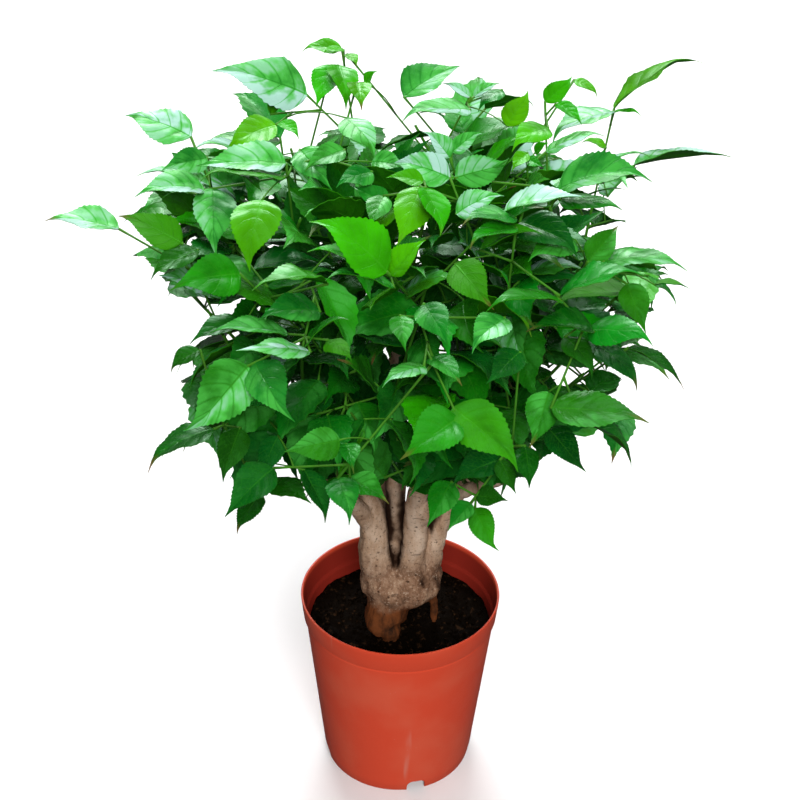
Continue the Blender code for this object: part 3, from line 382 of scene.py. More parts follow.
LEAFLETS_IN_VIEW = sightings(
    # Shoots that stand out at the upper left
    (342, 49, 302, 52, 0.10, 0.00, 40, "y"), (332, 65, 316, 107, 0.10, 0.02, 75, "y"),
    (338, 65, 346, 110, 0.10, 0.02, 60, "y"), (357, 83, 362, 111, 0.10, 0.02, 75, "y"),
    (307, 95, 212, 71, 0.08, 0.02, 55, "p"), (271, 114, 270, 90, 0.08, 0.00, 50, "y"),
    (276, 125, 225, 153, 0.06, 0.01, 55, "y"), (283, 120, 299, 140, 0.06, 0.01, 60, "y"),
    (191, 137, 125, 116, 0.05, -0.02, 50, "p"), (207, 158, 161, 171, 0.04, 0.02, 75, "s"),
    (286, 164, 196, 166, 0.03, 0.01, 38, "p"), (284, 178, 200, 182, 0.02, 0.02, 14, "b"),
    (205, 190, 135, 197, 0.03, 0.02, 34, "p"), (210, 187, 137, 176, 0.05, 0.01, 18, "p"),
    (182, 243, 118, 216, 0.02, 0.00, 60, "o"), (119, 229, 45, 221, -0.01, 0.00, 31, "p"),
    (262, 200, 250, 272, 0.00, 0.02, 82, "y"), (208, 192, 217, 259, 0.03, 0.02, 75, "s"),
    (240, 274, 170, 291, 0.01, 0.02, 75, "b"), (198, 250, 151, 280, 0.03, 0.01, 50, "d"),
    # Centre left
    (387, 272, 309, 222, 0.00, 0.01, 62, "y"), (388, 276, 426, 240, 0.00, 0.00, 55, "y"),
    (378, 272, 307, 252, 0.01, 0.01, 22, "y"), (394, 288, 325, 281, 0.00, 0.02, 18, "m"),
    (327, 284, 252, 291, 0.01, 0.02, 16, "b"), (320, 312, 258, 321, 0.02, 0.02, 52, "m"),
    (302, 350, 349, 320, 0.02, 0.02, 16, "m"), (310, 352, 236, 351, 0.01, 0.02, 24, "p"),
    (288, 334, 210, 333, 0.03, 0.02, 24, "s"), (328, 340, 352, 362, 0.02, 0.02, 60, "o"),
    # Top centre
    (404, 97, 460, 66, 0.10, -0.02, 45, "s"), (470, 97, 442, 84, 0.10, 0.00, 35, "p"),
    (474, 97, 500, 83, 0.10, 0.00, 35, "p"), (502, 90, 478, 112, 0.09, 0.01, 45, "m"),
    (470, 110, 402, 122, 0.08, 0.02, 30, "p"), (507, 126, 528, 90, 0.07, 0.00, 80, "y"),
    (545, 102, 572, 76, 0.09, 0.00, 80, "y"), (574, 80, 597, 98, 0.09, 0.00, 35, "y"),
    (556, 104, 582, 125, 0.08, 0.01, 45, "y"), (548, 128, 512, 152, 0.05, 0.02, 60, "y"),
    (346, 118, 374, 160, 0.06, 0.02, 60, "s"), (300, 150, 332, 190, 0.05, 0.02, 75, "s"),
    (345, 150, 305, 172, 0.05, 0.01, 60, "m"), (372, 172, 336, 188, 0.03, 0.02, 65, "m"),
    (372, 162, 408, 170, 0.06, 0.01, 60, "s"),
    # Top right
    (614, 109, 706, 64, 0.08, 0.00, 9, "y"), (614, 112, 641, 116, 0.08, 0.01, 18, "y"),
    (614, 112, 552, 146, 0.07, 0.01, 28, "p"), (546, 152, 604, 136, 0.05, 0.01, 22, "p"),
    (600, 168, 650, 157, 0.10, 0.01, 10, "p"), (634, 166, 731, 157, 0.13, 0.00, 7, "p"),
    (558, 190, 652, 182, 0.02, 0.02, 38, "s"), (560, 200, 622, 210, 0.02, 0.02, 30, "m"),
    (504, 212, 586, 197, 0.02, 0.01, 22, "p"),
    # Upper centre
    (450, 178, 392, 164, 0.02, -0.01, 65, "p"), (455, 178, 509, 158, 0.02, -0.01, 82, "s"),
    (450, 158, 422, 132, 0.06, 0.00, 60, "p"), (452, 152, 484, 134, 0.06, 0.00, 60, "p"),
    (420, 187, 397, 246, 0.00, 0.02, 82, "y"), (425, 188, 440, 236, 0.00, 0.02, 52, "y"),
    (424, 182, 386, 178, 0.01, 0.00, 50, "y"), (384, 196, 368, 228, 0.02, 0.02, 75, "m"),
    (388, 205, 352, 186, 0.04, 0.00, 65, "m"), (456, 214, 504, 196, 0.03, 0.00, 60, "p"),
    (516, 218, 462, 226, 0.02, 0.02, 30, "m"), (516, 228, 470, 250, 0.01, 0.02, 35, "b"),
    (480, 250, 542, 234, 0.02, 0.02, 24, "b"), (520, 222, 578, 260, 0.03, 0.02, 60, "d"),
    (455, 264, 494, 310, 0.03, 0.02, 80, "o"),
    # Right
    (588, 262, 618, 226, 0.03, -0.01, 85, "m"), (604, 262, 687, 271, 0.02, 0.01, 24, "s"),
    (575, 240, 528, 262, 0.02, 0.02, 60, "m"), (560, 296, 648, 278, 0.01, 0.01, 20, "b"),
    (562, 302, 486, 312, 0.01, 0.02, 20, "b"), (627, 284, 646, 334, 0.01, 0.01, 82, "m"),
    (648, 276, 676, 305, 0.03, 0.01, 16, "m"), (632, 292, 552, 308, 0.03, 0.01, 26, "o"),
    (588, 330, 653, 346, 0.01, 0.02, 55, "b"), (594, 332, 526, 332, 0.01, 0.01, 30, "d"),
    (565, 337, 592, 378, 0.02, 0.01, 50, "d"), (597, 345, 637, 391, 0.02, 0.01, 40, "d"),
    (628, 348, 684, 390, 0.02, 0.00, 14, "d"), (551, 408, 649, 423, 0.00, 0.01, 46, "m"),
    (580, 420, 631, 470, 0.02, 0.00, 15, "d"), (549, 392, 529, 448, 0.01, 0.02, 82, "m"),
    (548, 428, 586, 472, 0.02, 0.01, 65, "d"), (525, 446, 529, 489, 0.02, 0.01, 80, "d"),
    (500, 460, 516, 494, 0.03, 0.01, 70, "d"),
    # Middle
    (424, 304, 448, 346, 0.02, 0.02, 80, "m"), (400, 316, 406, 352, 0.02, 0.02, 80, "m"),
    (505, 318, 472, 354, 0.01, 0.02, 70, "s"), (432, 356, 462, 386, 0.03, 0.02, 50, "m"),
    (424, 366, 382, 388, 0.01, 0.02, 40, "s"), (520, 352, 486, 384, 0.02, 0.02, 75, "d"),
    (458, 418, 400, 460, 0.00, 0.02, 82, "b"), (460, 410, 518, 472, 0.00, 0.02, 85, "b"),
    # Lower centre and lower right
    (471, 503, 448, 531, 0.03, 0.01, 78, "m"), (475, 508, 499, 551, 0.02, 0.01, 88, "b"),
    (498, 460, 452, 488, 0.03, 0.01, 70, "d"), (451, 482, 427, 527, 0.03, 0.01, 85, "m"),
    (474, 494, 508, 501, 0.04, 0.01, 75, "d"), (338, 478, 349, 525, 0.01, 0.02, 88, "m"),
    (350, 478, 389, 504, 0.02, 0.02, 65, "m"), (340, 440, 284, 452, 0.00, 0.01, 88, "m"),
    (346, 444, 354, 474, 0.02, 0.02, 75, "m"),
    # Left
    (248, 366, 183, 431, 0.00, 0.01, 88, "s"), (254, 370, 295, 422, 0.00, 0.02, 85, "m"),
    (214, 429, 148, 473, 0.01, 0.01, 28, "d"), (240, 428, 223, 483, 0.02, 0.01, 88, "d"),
    (274, 468, 225, 517, 0.01, 0.01, 65, "d"), (261, 494, 237, 534, 0.03, 0.01, 60, "d"),
    (278, 436, 258, 480, 0.03, 0.01, 80, "d"), (244, 323, 190, 344, 0.03, 0.01, 38, "d"),
    (200, 350, 171, 373, 0.02, 0.00, 50, "d"), (304, 470, 325, 523, 0.03, 0.01, 50, "d"),
)

# Small leaflets of the same kind that only the fine crown has
SMALL_LEAFLETS_IN_VIEW = sightings(
    (344, 50, 323, 55, 0.10, 0.01, 35, "y"), (347, 54, 356, 68, 0.10, 0.01, 60, "y"),
    (365, 84, 378, 71, 0.10, 0.01, 50, "y"), (527, 153, 512, 172, 0.03, 0.01, 75, "y"),
    (535, 153, 550, 143, 0.04, 0.01, 60, "y"), (528, 157, 544, 167, 0.03, 0.01, 70, "b"),
    (606, 148, 581, 143, 0.05, 0.00, 30, "y"), (655, 285, 690, 289, 0.02, 0.00, 14, "o"),
    (240, 170, 262, 192, 0.02, 0.01, 40, "b"),
)

# Each tone as how young the leaflet is and how much painted sheen it has, a reflection painted into its
# colour, from 0 to 1
LEAF_TONES = {
    "y": (0.95, 0.02), "b": (0.66, 0.10), "m": (0.44, 0.24), "s": (0.42, 0.52),
    "d": (0.12, 0.08), "p": (0.50, 1.15), "o": (0.55, 0.00),
}

# The same for the other leaflets: what youth they have, and what they gain further out and at the top.
# This is partly their real age and partly painted light: darker inside the crown as painted shade,
# brighter at the top as painted light. Then their chances there, each with what the top adds, of being
# fresh, which also brightens the top, and of having heavy painted sheen.
INNER_PART = 0.45
YOUTH_AND_PAINTED_LIGHT = (0.06, 0.34, 0.20)
YOUTH_CHANGE = (-0.08, 0.10)
FRESH_FROM = 0.6
FRESH_CHANCE = (0.14, 0.3)
FRESH_YOUTH = (0.65, 1.0)
SHEEN_PAINT_FROM = 0.4
SHEEN_PAINT_CHANCE = (0.07, 0.42)
HEAVY_SHEEN_PAINT = (0.6, 1.15)
LIGHT_SHEEN_PAINT = (0.0, 0.30)
SEEN_YOUTH_CHANGE = 0.05
DRY_TIP_POWER = 9

# The edge of the crown in the view, which nothing else of the plant crosses
CROWN_EDGE_IN_VIEW = (
    (300, 50), (345, 42), (375, 80), (402, 98), (450, 64), (505, 84), (560, 74), (600, 96),
    (640, 86), (650, 112), (602, 150), (690, 158), (640, 178), (622, 215), (640, 258),
    (682, 272), (655, 290), (652, 345), (682, 388), (640, 392), (650, 420), (628, 460),
    (585, 472), (550, 458), (516, 500), (470, 520), (430, 510), (392, 498), (350, 522),
    (300, 514), (240, 528), (225, 470), (152, 470), (186, 428), (172, 372), (200, 330),
    (152, 284), (122, 240), (120, 212), (140, 190), (130, 118), (200, 118), (222, 76), (298, 96),
)

# The same edge with its notches, for the leaflets that fill the crown
FILL_EDGE_IN_VIEW = (
    (165, 150), (185, 143), (224, 150), (249, 146), (284, 155), (296, 158), (313, 148), (318, 130),
    (340, 128), (385, 128), (400, 126), (440, 132), (480, 130), (500, 118), (540, 122), (548, 146),
    (570, 165), (603, 172), (640, 170), (650, 186), (601, 202), (581, 206), (548, 214), (563, 233),
    (620, 225), (627, 250), (684, 272), (655, 286), (656, 330), (652, 345), (625, 354), (635, 388),
    (600, 352), (588, 346), (586, 362), (560, 352), (556, 378), (573, 383), (600, 393), (636, 409),
    (648, 422), (602, 426), (586, 430), (576, 422), (557, 430), (571, 447), (583, 470), (562, 463),
    (536, 448), (538, 466), (528, 484), (518, 470), (514, 488), (501, 482), (502, 498), (490, 512),
    (466, 512), (430, 510), (392, 498), (371, 498), (345, 515), (322, 510), (303, 506), (296, 480),
    (288, 462), (282, 480), (262, 494), (240, 520), (232, 508), (236, 470), (218, 470), (214, 436),
    (194, 451), (155, 466), (188, 425), (184, 400), (175, 370), (207, 346), (192, 341), (228, 322),
    (240, 312), (205, 306), (184, 300), (158, 290), (150, 272), (172, 256), (180, 246), (140, 232),
    (125, 216), (160, 204), (136, 196), (137, 178), (160, 172),
)

SEEN_LEAFLETS = LEAFLETS_IN_VIEW + SMALL_LEAFLETS_IN_VIEW
Leaflet = namedtuple("Leaflet", "base tip face width outline seed")
Twig = namedtuple("Twig", "start end radius")


# What a user would change


def length(name, text, default):
    return FloatProperty(
        name=name, description=text, default=default, min=0.0, precision=5, unit="LENGTH"
    )


def part_of(name, text, default):
    return FloatProperty(name=name, description=text, default=default, min=0.0, max=1.0, subtype="FACTOR")


def paint(name, text, default):
    return FloatVectorProperty(
        name=name, description=text, default=default, size=3, min=0.0, max=1.0, subtype="COLOR"
    )


def amount(name, text, default):
    return IntProperty(name=name, description=text, default=default, min=0)


def strength(name, text, default):
    return FloatProperty(name=name, description=text, default=default, min=0.0)


class PotSettings(PropertyGroup):
    """Sizes and colours of the moulded pot."""

    rounding: length("Rounding", "Radius of the rounded edges of the moulding", 0.0007)
    turn_steps: amount("Turn steps", "Steps of the full turn that makes the wall", 144)
    colour: paint("Plastic", "Colour of the red plastic", (0.76, 0.078, 0.034))
    faded: paint("Faded plastic", "Colour where the plastic is rubbed or faded", (0.76, 0.108, 0.053))
    # Painted shade: this deep red stands for the shadow on the inside wall of the pot
    painted_inside_shade: paint("Damp plastic", "Colour of the damp, soiled inside of the pot", (0.300, 0.024, 0.014))
    scuff: paint("Scuffs", "Colour of the dry scuffs and dust", (0.70, 0.36, 0.28))


class SoilSettings(PropertyGroup):
    """Sizes and colours of the potting soil."""

    lump: length("Lumps", "Height of the lumps on the soil", 0.0040)
    clods: amount("Clods", "Number of loose crumbs on the soil", 950)
    clod_size: length("Clod size", "Radius of the largest crumbs", 0.0042)
    # The soil's colour is its own dark brown and also painted shade: it is made darker still for the
    # shadow inside the pot
    colour: paint("Soil", "Colour of the moist soil", (0.0045, 0.0026, 0.0013))
    crumb: paint("Crumbs", "Colour of the dry crumbs and bark chips", (0.042, 0.020, 0.009))


class BarkSettings(PropertyGroup):
    """Sizes and colours of the trunk."""

    grain: length("Grain", "Voxel size at which limbs and knot grow together", 0.0016)
    lump: length("Lumps", "Height of the lumps of the old wood", 0.0026)
    colour: paint("Knot", "Colour of the bark of the knot", (0.235, 0.125, 0.073))
    limb: paint("Limbs", "Colour of the bark of the limbs", (0.520, 0.335, 0.215))
    pale: paint("Pale bark", "Colour of the rubbed bark", (0.700, 0.520, 0.385))
    # This colour serves the real clefts and pits, and also the painted shade where the bark is hidden
    # between limbs and knot
    cleft_and_shade: paint("Cracks", "Colour deep in the cracks", (0.030, 0.014, 0.008))
    root: paint("Root", "Colour of the bare root", (0.150, 0.046, 0.015))


class LeafSettings(PropertyGroup):
    """Sizes and colours of the leaves and their stalks."""

    thickness: length("Thickness", "Thickness of a leaf", 0.00045)
    quilting: part_of("Quilting", "Height of the fields between veins, as a part of the width", 0.005)
    tooth: part_of("Teeth", "Depth of the teeth, as a part of the half width", 0.085)
    fill: amount("Fill", "Leaflets that fill the crown beyond the packed model", 420)
    plugs: amount("Inner leaflets", "Leaflets that close the gaps through the crown", 320)
    # The colours follow each leaflet's age; for the leaflets the view doesn't show, the darker colours
    # inside the crown are partly painted shade
    old: paint("Old leaf", "Colour of old leaves", (0.0006, 0.040, 0.0010))
    green: paint("Leaf", "Colour of grown leaves", (0.0030, 0.130, 0.0020))
    bright: paint("Bright leaf", "Colour of fresh leaves", (0.0120, 0.225, 0.0020))
    young: paint("Young leaf", "Colour of young leaves", (0.0480, 0.340, 0.0003))
    # Painted highlights: the green sheen and the pale sheen are reflections painted into the leaves'
    # colour
    sheen: paint("Sheen", "Colour of the fresh green sheen", (0.060, 0.400, 0.050))
    sheen_paint: paint("Wax", "Colour of the pale waxy bloom", (0.330, 0.570, 0.470))
    vein: paint("Veins", "Colour of the veins", (0.060, 0.360, 0.020))
    under: paint("Underside", "Colour of the matt underside", (0.024, 0.150, 0.005))
    dry: paint("Dry tip", "Colour of dry tips", (0.160, 0.085, 0.030))
    stalk: paint("Stalk", "Colour of green stalks", (0.050, 0.190, 0.012))
    woody: paint("Woody stem", "Colour of the oldest stems", (0.070, 0.075, 0.030))


class StudioSettings(PropertyGroup):
    """The floor and the light."""

    floor: paint("Floor", "Colour of the floor", (0.90, 0.90, 0.90))
    sky: strength("Sky", "Strength of the even light", 0.10)
    back: strength("Back light", "Strength of the soft light from behind", 2.3)
    top: strength("Top light", "Strength of the soft light from above", 1.9)
    front: strength("Front light", "Strength of the soft light from the front", 2.75)
    gloss: strength("Gloss panel", "Strength of the panel that gloss reflects", 1.5)


# Directions, and the view's sight lines


def way_from(around, above):
    """The direction that lies the degrees round from the front and up from level."""
    a, e = math.radians(around), math.radians(above)
    return Vector((math.sin(a) * math.cos(e), -math.cos(a) * math.cos(e), math.sin(e)))


def way_round(height, turn):
    """The direction with the given height and turn about Z."""
    level = math.sqrt(1 - height**2)
    return Vector((level * math.cos(turn), level * math.sin(turn), height))


def jitter(dice, reach):
    return Vector(dice.uniform(-reach, reach) for _ in range(3))


def view_turn():
    """The view's own axes as the columns of a matrix: right, up and back."""
    tilt = Euler((math.pi / 2 - VIEW_PITCH, 0.0, 0.0)).to_matrix()
    return tilt @ Matrix.Rotation(VIEW_ROLL, 3, "Z")


def sight_line(spot):
    """The direction of one picture coordinate, one metre deep along the view."""
    across = (spot[0] - VIEW_CENTRE) / VIEW_FOCAL
    upward = (VIEW_CENTRE - spot[1]) / VIEW_FOCAL
    return view_turn() @ Vector((across, upward, -1.0))


def picture_spot(point):
    """Where the view shows a point of the plant."""
    seen = view_turn().transposed() @ (point - VIEW_PLACE)
    return (
        VIEW_CENTRE - VIEW_FOCAL * seen.x / seen.z,
        VIEW_CENTRE + VIEW_FOCAL * seen.y / seen.z,
    )


def crown_parts(shift, size=1.0):
    """A shift as parts of the reach of the crown, or of a smaller crown of the given size."""
    return Vector(shift[i] / CROWN_REACH[i] / size for i in range(3))


def crown_cut(start, way, size=1.0):
    """How far along a line the crown's two sides lie, nearest first, and whether it meets them."""
    start = crown_parts(start - CROWN_MIDDLE, size)
    step = crown_parts(way, size)
    inside = start.dot(step) ** 2 - step.dot(step) * (start.dot(start) - 1.0)
    root = math.sqrt(max(inside, 0.0))
    near, far = ((-start.dot(step) + hand * root) / step.dot(step) for hand in (-1, 1))
    return near, far, inside > 0.0


def crown_depth(spot):
    """How deep along its sight line a picture coordinate meets the crown, or passes nearest it."""
    return crown_cut(VIEW_PLACE, sight_line(spot))[0]


def inside_edge(spot, edge):
    """Whether a picture coordinate lies inside a closed outline."""
    within = False
    for (x0, y0), (x1, y1) in zip(edge, edge[1:] + edge[:1]):
        if (y0 > spot[1]) != (y1 > spot[1]):
            if spot[0] < x0 + (x1 - x0) * (spot[1] - y0) / (y1 - y0):
                within = not within
    return within


# Shapes that the crown is grown from


def smooth_path(points, steps):
    """A curve through the points, cut into equal steps between each two of them."""
    points = [Vector(p) for p in points]
    ends = [points[0] * 2 - points[1]] + points + [points[-1] * 2 - points[-2]]
    path = []
    for a, b, c, d in zip(ends, ends[1:], ends[2:], ends[3:]):
        for k in range(steps):
            t = k / steps
            bend = (2 * a - 5 * b + 4 * c - d) * t**2 + (3 * b - a - 3 * c + d) * t**3
            path.append((2 * b + (c - a) * t + bend) / 2)
    return path + [points[-1]]


def add_rod(bm, start, end, radius_start, radius_end, sides=3):
    """A straight tapered rod between two points."""
    along = end - start
    place = Matrix.Translation((start + end) / 2) @ along.to_track_quat("Z", "Y").to_matrix().to_4x4()
    bmesh.ops.create_cone(
        bm, cap_ends=True, segments=sides, radius1=radius_start, radius2=radius_end,
        depth=along.length, matrix=place,
    )


def blade_axes(leaflet):
    """A leaflet's directions along, across and out of its face, with its length."""
    along = leaflet.tip - leaflet.base
    size = along.length
    along = along / size
    across = leaflet.face.cross(along).normalized()
    return along, across, along.cross(across), size


def blade_bends(leaflet, size):
    """A leaflet's own dice, then how it arches, folds and waves, and where its waves start."""
    dice = random.Random(leaflet.seed)
    arch = dice.uniform(*BLADE_ARCH) * size
    fold = dice.uniform(*BLADE_FOLD)
    wave = dice.uniform(*BLADE_WAVE) * size
    return dice, arch, fold, wave, dice.uniform(0.0, math.tau)


def leaflet_width(size, dice):
    return size * (LEAFLET_WIDTH + dice.uniform(-WIDTH_CHANGE, WIDTH_CHANGE))


def add_blade(bm, leaflet, thickness=BLADE_THICKNESS):
    """A plain waved blade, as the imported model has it."""
    along, across, face, size = blade_axes(leaflet)
    _, arch, fold, wave, turn = blade_bends(leaflet, size)
    half_steps = len(leaflet.outline) - 1
    disc = bmesh.ops.create_circle(
        bm, cap_ends=True, cap_tris=True, segments=2 * half_steps, radius=1.0
    )
    for vertex in disc["verts"]:
        if vertex.co.length < 0.5:
            along_part, side = LEAFLET_HEART, 0.0
        else:
            step = round(math.atan2(vertex.co.x, vertex.co.y) / math.pi * half_steps)
            along_part, side_part = leaflet.outline[abs(step)]
            side = math.copysign(side_part, step)
        rise = arch * 4 * along_part * (1 - along_part) + fold * abs(side) * leaflet.width / 2
        rise += wave * math.sin(turn + WAVE_PITCH * along_part + WAVE_SKEW * side) * abs(side)
        vertex.co = leaflet.base + along * along_part * size + across * side * leaflet.width / 2
        vertex.co += face * (rise + thickness / 2)
    top = [f for f in bm.faces if all(v in disc["verts"] for v in f.verts)]
    grown = bmesh.ops.extrude_face_region(bm, geom=top)
    under = [g for g in grown["geom"] if isinstance(g, bmesh.types.BMVert)]
    bmesh.ops.translate(bm, verts=under, vec=-face * thickness)
    bmesh.ops.recalc_face_normals(bm, faces=bm.faces)


# Growing the crown


class Crown:
    """The leafy stems as they grow, each kept clear of all the others."""

    def __init__(self, limbs):
        self.solids = []
        self.spheres = np.zeros((SOLIDS_AT_MOST, 4))
        self.blades = []
        self.leaflets = [[] for _ in range(SHOOT_COUNT)]
        self.twigs = [[] for _ in range(SHOOT_COUNT)]
        self.stems = []
        self.in_view = []
        self.middles = []
        self.room = STEM_LEAFLETS
        self.box = None
        for path in limbs:
            for (a, ra), (b, rb) in zip(path, path[1:]):
                self.keep("trunk", "wood", self.rod_shape(a, b, ra, rb, LIMB_SIDES))

    @staticmethod
    def rod_shape(a, b, ra, rb, sides=3):
        bm = bmesh.new()
        add_rod(bm, a, b, ra, rb, sides)
        return bm

    @staticmethod
    def blade_shape(leaflet, thickness=BLADE_THICKNESS):
        bm = bmesh.new()
        add_blade(bm, leaflet, thickness)
        return bm

    @staticmethod
    def ball_round(bm):
        """The middle of a shape's corners and how far they reach from it."""
        middle = sum((v.co for v in bm.verts), Vector()) / len(bm.verts)
        return middle, max((v.co - middle).length for v in bm.verts)

    def keep(self, owner, kind, bm):
        middle, reach = self.ball_round(bm)
        self.spheres[len(self.solids)] = (*middle, reach)
        self.solids.append((owner, kind, BVHTree.FromBMesh(bm)))
        if kind == "blade":
            bm.verts.index_update()
            corners = [v.co.copy() for v in bm.verts]
            self.blades.append((corners, [[v.index for v in f.verts] for f in bm.faces]))
        bm.free()

    def is_clear(self, owner, kind, bm):
        """Nothing of another stem, and for a blade no other blade, meets this shape."""
        middle, reach = self.ball_round(bm)
        tree = BVHTree.FromBMesh(bm)
        bm.free()
        spheres = self.spheres[: len(self.solids)]
        gaps = np.sqrt(((spheres[:, :3] - np.array(middle)) ** 2).sum(axis=1)) - spheres[:, 3]
        for near in np.nonzero(gaps < reach)[0]:
            other, other_kind, other_tree = self.solids[near]
            if other == owner and not (kind == "blade" and other_kind == "blade"):
                continue
            if tree.overlap(other_tree):
                return False
        return True

    def nearest_fork(self, shoot, point):
        """Where a twig to the point leaves its stem or an earlier twig, a little way back along it."""
        best = None
        path = self.stems[shoot]
        runs = list(zip(path[1:], path[2:])) + [(t.start, t.end) for t in self.twigs[shoot]]
        for a, b in runs:
            run = b - a
            place = min(max((point - a).dot(run) / run.length_squared, 0.0), FORK_LIMIT)
            back = FORK_SLANT * (point - (a + run * place)).length / run.length
            fork = a + run * max(place - back, 0.0)
            if best is None or (point - fork).length < (point - best).length:
                best = fork
        return best

    def nearest_stems(self, point):
        """The stems with room for another leaflet, nearest first."""
        gaps = {}
        for shoot, path in enumerate(self.stems):
            if len(self.leaflets[shoot]) < self.room:
                gaps[shoot] = min((point - p).length for p in path[2:])
        return sorted(gaps, key=gaps.__getitem__)

    def try_twig(self, shoot, start, end, radius=TWIG_RADIUS):
        """Grow a twig if its way is free."""
        if (end - start).length < 2 * radius:
            return False
        end = end + (end - start).normalized() * TWIG_OVERLAP
        if not self.is_clear(shoot, "twig", self.rod_shape(start, end, radius * 2, radius * 2)):
            return False
        self.twigs[shoot].append(Twig(start, end, radius))
        self.keep(shoot, "twig", self.rod_shape(start, end, radius, radius * TWIG_TAPER))
        return True

    def has_room_for(self, shoot, leaflet):
        room = BLADE_ROOM if self.box is None else BLADE_NEAR
        return self.is_clear(shoot, "blade", self.blade_shape(leaflet, room))

    def try_leaflet(self, shoot, leaflet, stalked=True):
        """Grow a leaflet if there is room for it, on a stalk or straight from the twig at its base."""
        if not self.has_room_for(shoot, leaflet):
            return False
        if stalked:
            fork = self.nearest_fork(shoot, leaflet.base)
            if (fork - leaflet.base).length < SEAT_REACH:
                leaflet = leaflet._replace(base=fork)
            elif not self.try_twig(shoot, fork, leaflet.base):
                return False
        self.leaflets[shoot].append(leaflet)
        self.middles.append((leaflet.base + leaflet.tip) / 2)
        self.keep(shoot, "blade", self.blade_shape(leaflet))
        return True

    def is_in_the_way(self, leaflet):
        """It hides a leaflet in view, or crosses the crown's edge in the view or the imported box."""
        bm = self.blade_shape(leaflet)
        corners = [v.co.copy() for v in bm.verts]
        bm.free()
        edge = FILL_EDGE_IN_VIEW if self.box else CROWN_EDGE_IN_VIEW
        for corner in corners:
            away = (corner - VIEW_PLACE).normalized()
            if self.in_view_tree.ray_cast(corner, away)[0] is not None:
                return True
            if not inside_edge(picture_spot(corner), edge):
                return True
            if self.box and any(not self.box[0][i] < corner[i] < self.box[1][i] for i in range(3)):
                return True
        return False


def face_for(base, tip, roll):
    """The way a blade faces: upwards and a little outwards, rolled about its own length."""
    along = (tip - base).normalized()
    outward = Vector((base.x, base.y, 0.0)).normalized()
    up = Vector((0.0, 0.0, 1.0)) + outward * BLADE_LEAN
    face = (up - along * up.dot(along)).normalized()
    return Matrix.Rotation(roll, 3, along) @ face


def face_to_viewer(base, tip, degrees):
    """The way a blade faces: edge-on to the viewer at 0, its upper side turned to the viewer at 90."""
    along = (tip - base).normalized()
    toward = VIEW_PLACE - base
    open_face = (toward - along * toward.dot(along)).normalized()
    edge_face = along.cross(open_face)
    if edge_face.z < 0.0:
        edge_face = -edge_face
    opened = math.radians(degrees)
    return edge_face * math.cos(opened) + open_face * math.sin(opened)


def limb_paths():
    """Every limb as a list of places along it with the bark's radius there."""
    paths = {}
    for name, places in LIMBS.items():
        points = smooth_path([p[:3] for p in places], LIMB_STEPS)
        sizes = smooth_path([(p[3], 0.0, 0.0) for p in places], LIMB_STEPS)
        paths[name] = [(p, s.x) for p, s in zip(points, sizes)]
    return paths


def in_crown(way, part):
    """The place a given part of the way from the crown's middle out to its edge."""
    return CROWN_MIDDLE + Vector(CROWN_REACH[i] * part * way[i] for i in range(3))


def buds(paths):
    """Free places along the limbs where a leafy stem can start."""
    places = []
    for path in paths.values():
        for fraction in BUD_FRACTIONS:
            spot = fraction * (len(path) - 1)
            k = min(int(spot), len(path) - 2)
            (a, ra), (b, rb) = path[k], path[k + 1]
            t = spot - k
            places.append((a.lerp(b, t), (b - a).normalized(), ra + (rb - ra) * t, fraction == 1.0))
    return places


def shoot_tips():
    """Where the leafy stems end: evenly over an inner dome of the crown."""
    tips = []
    for k in range(SHOOT_COUNT):
        height = SHOOT_TOP - SHOOT_FALL * (k + 0.5) / SHOOT_COUNT
        tips.append(in_crown(way_round(height, k * GOLDEN_TURN + SHOOT_TURN), SHOOT_REACH))
    return tips


def stem_path(bud, tip, sway):
    """A leafy stem's way from its bud, square off the bark, up and out to its tip."""
    middle, along, radius, at_end = bud
    off = tip - middle
    leave = along if at_end else (off - along * off.dot(along)).normalized()
    start = middle + leave * (CLEARANCE if at_end else radius + CLEARANCE)
    root = start + leave * STEM_FOOT
    bend = root.lerp(tip, 0.5) + sway + Vector((0.0, 0.0, STEM_LIFT * (tip - root).length))
    low, high = STEM_BENDS
    return [start, root, root.lerp(bend, low), bend, tip.lerp(bend, high), tip]


def free_stem_path(crown, shoot, bud, tip, dice):
    """A way for one leafy stem that keeps clear of all the others, or None."""
    for _ in range(SWAY_TRIES):
        trial = stem_path(bud, tip, jitter(dice, SWAY))
        rooms = [STEM_RADIUS] + [STEM_RADIUS * STEM_ROOM] * (len(trial) - 2)
        rods = [crown.rod_shape(a, b, r, r, 4) for a, b, r in zip(trial, trial[1:], rooms)]
        if all(crown.is_clear(shoot, "stem", rod) for rod in rods):
            return trial
    return None


def grow_stems(crown, paths):
    dice = random.Random(SEED)
    free = buds(paths)
    for shoot, tip in enumerate(shoot_tips()):
        order = sorted(free, key=lambda bud: (bud[0] - tip).length)
        for bud in order[:BUD_CHOICES]:
            path = free_stem_path(crown, shoot, bud, tip, dice)
            if path:
                free.remove(bud)
                break
        else:
            raise RuntimeError(f"leafy stem {shoot} finds no free way")
        crown.stems.append(path)
        for a, b in zip(path, path[1:]):
            crown.keep(shoot, "stem", crown.rod_shape(a, b, STEM_RADIUS, STEM_RADIUS, 4))


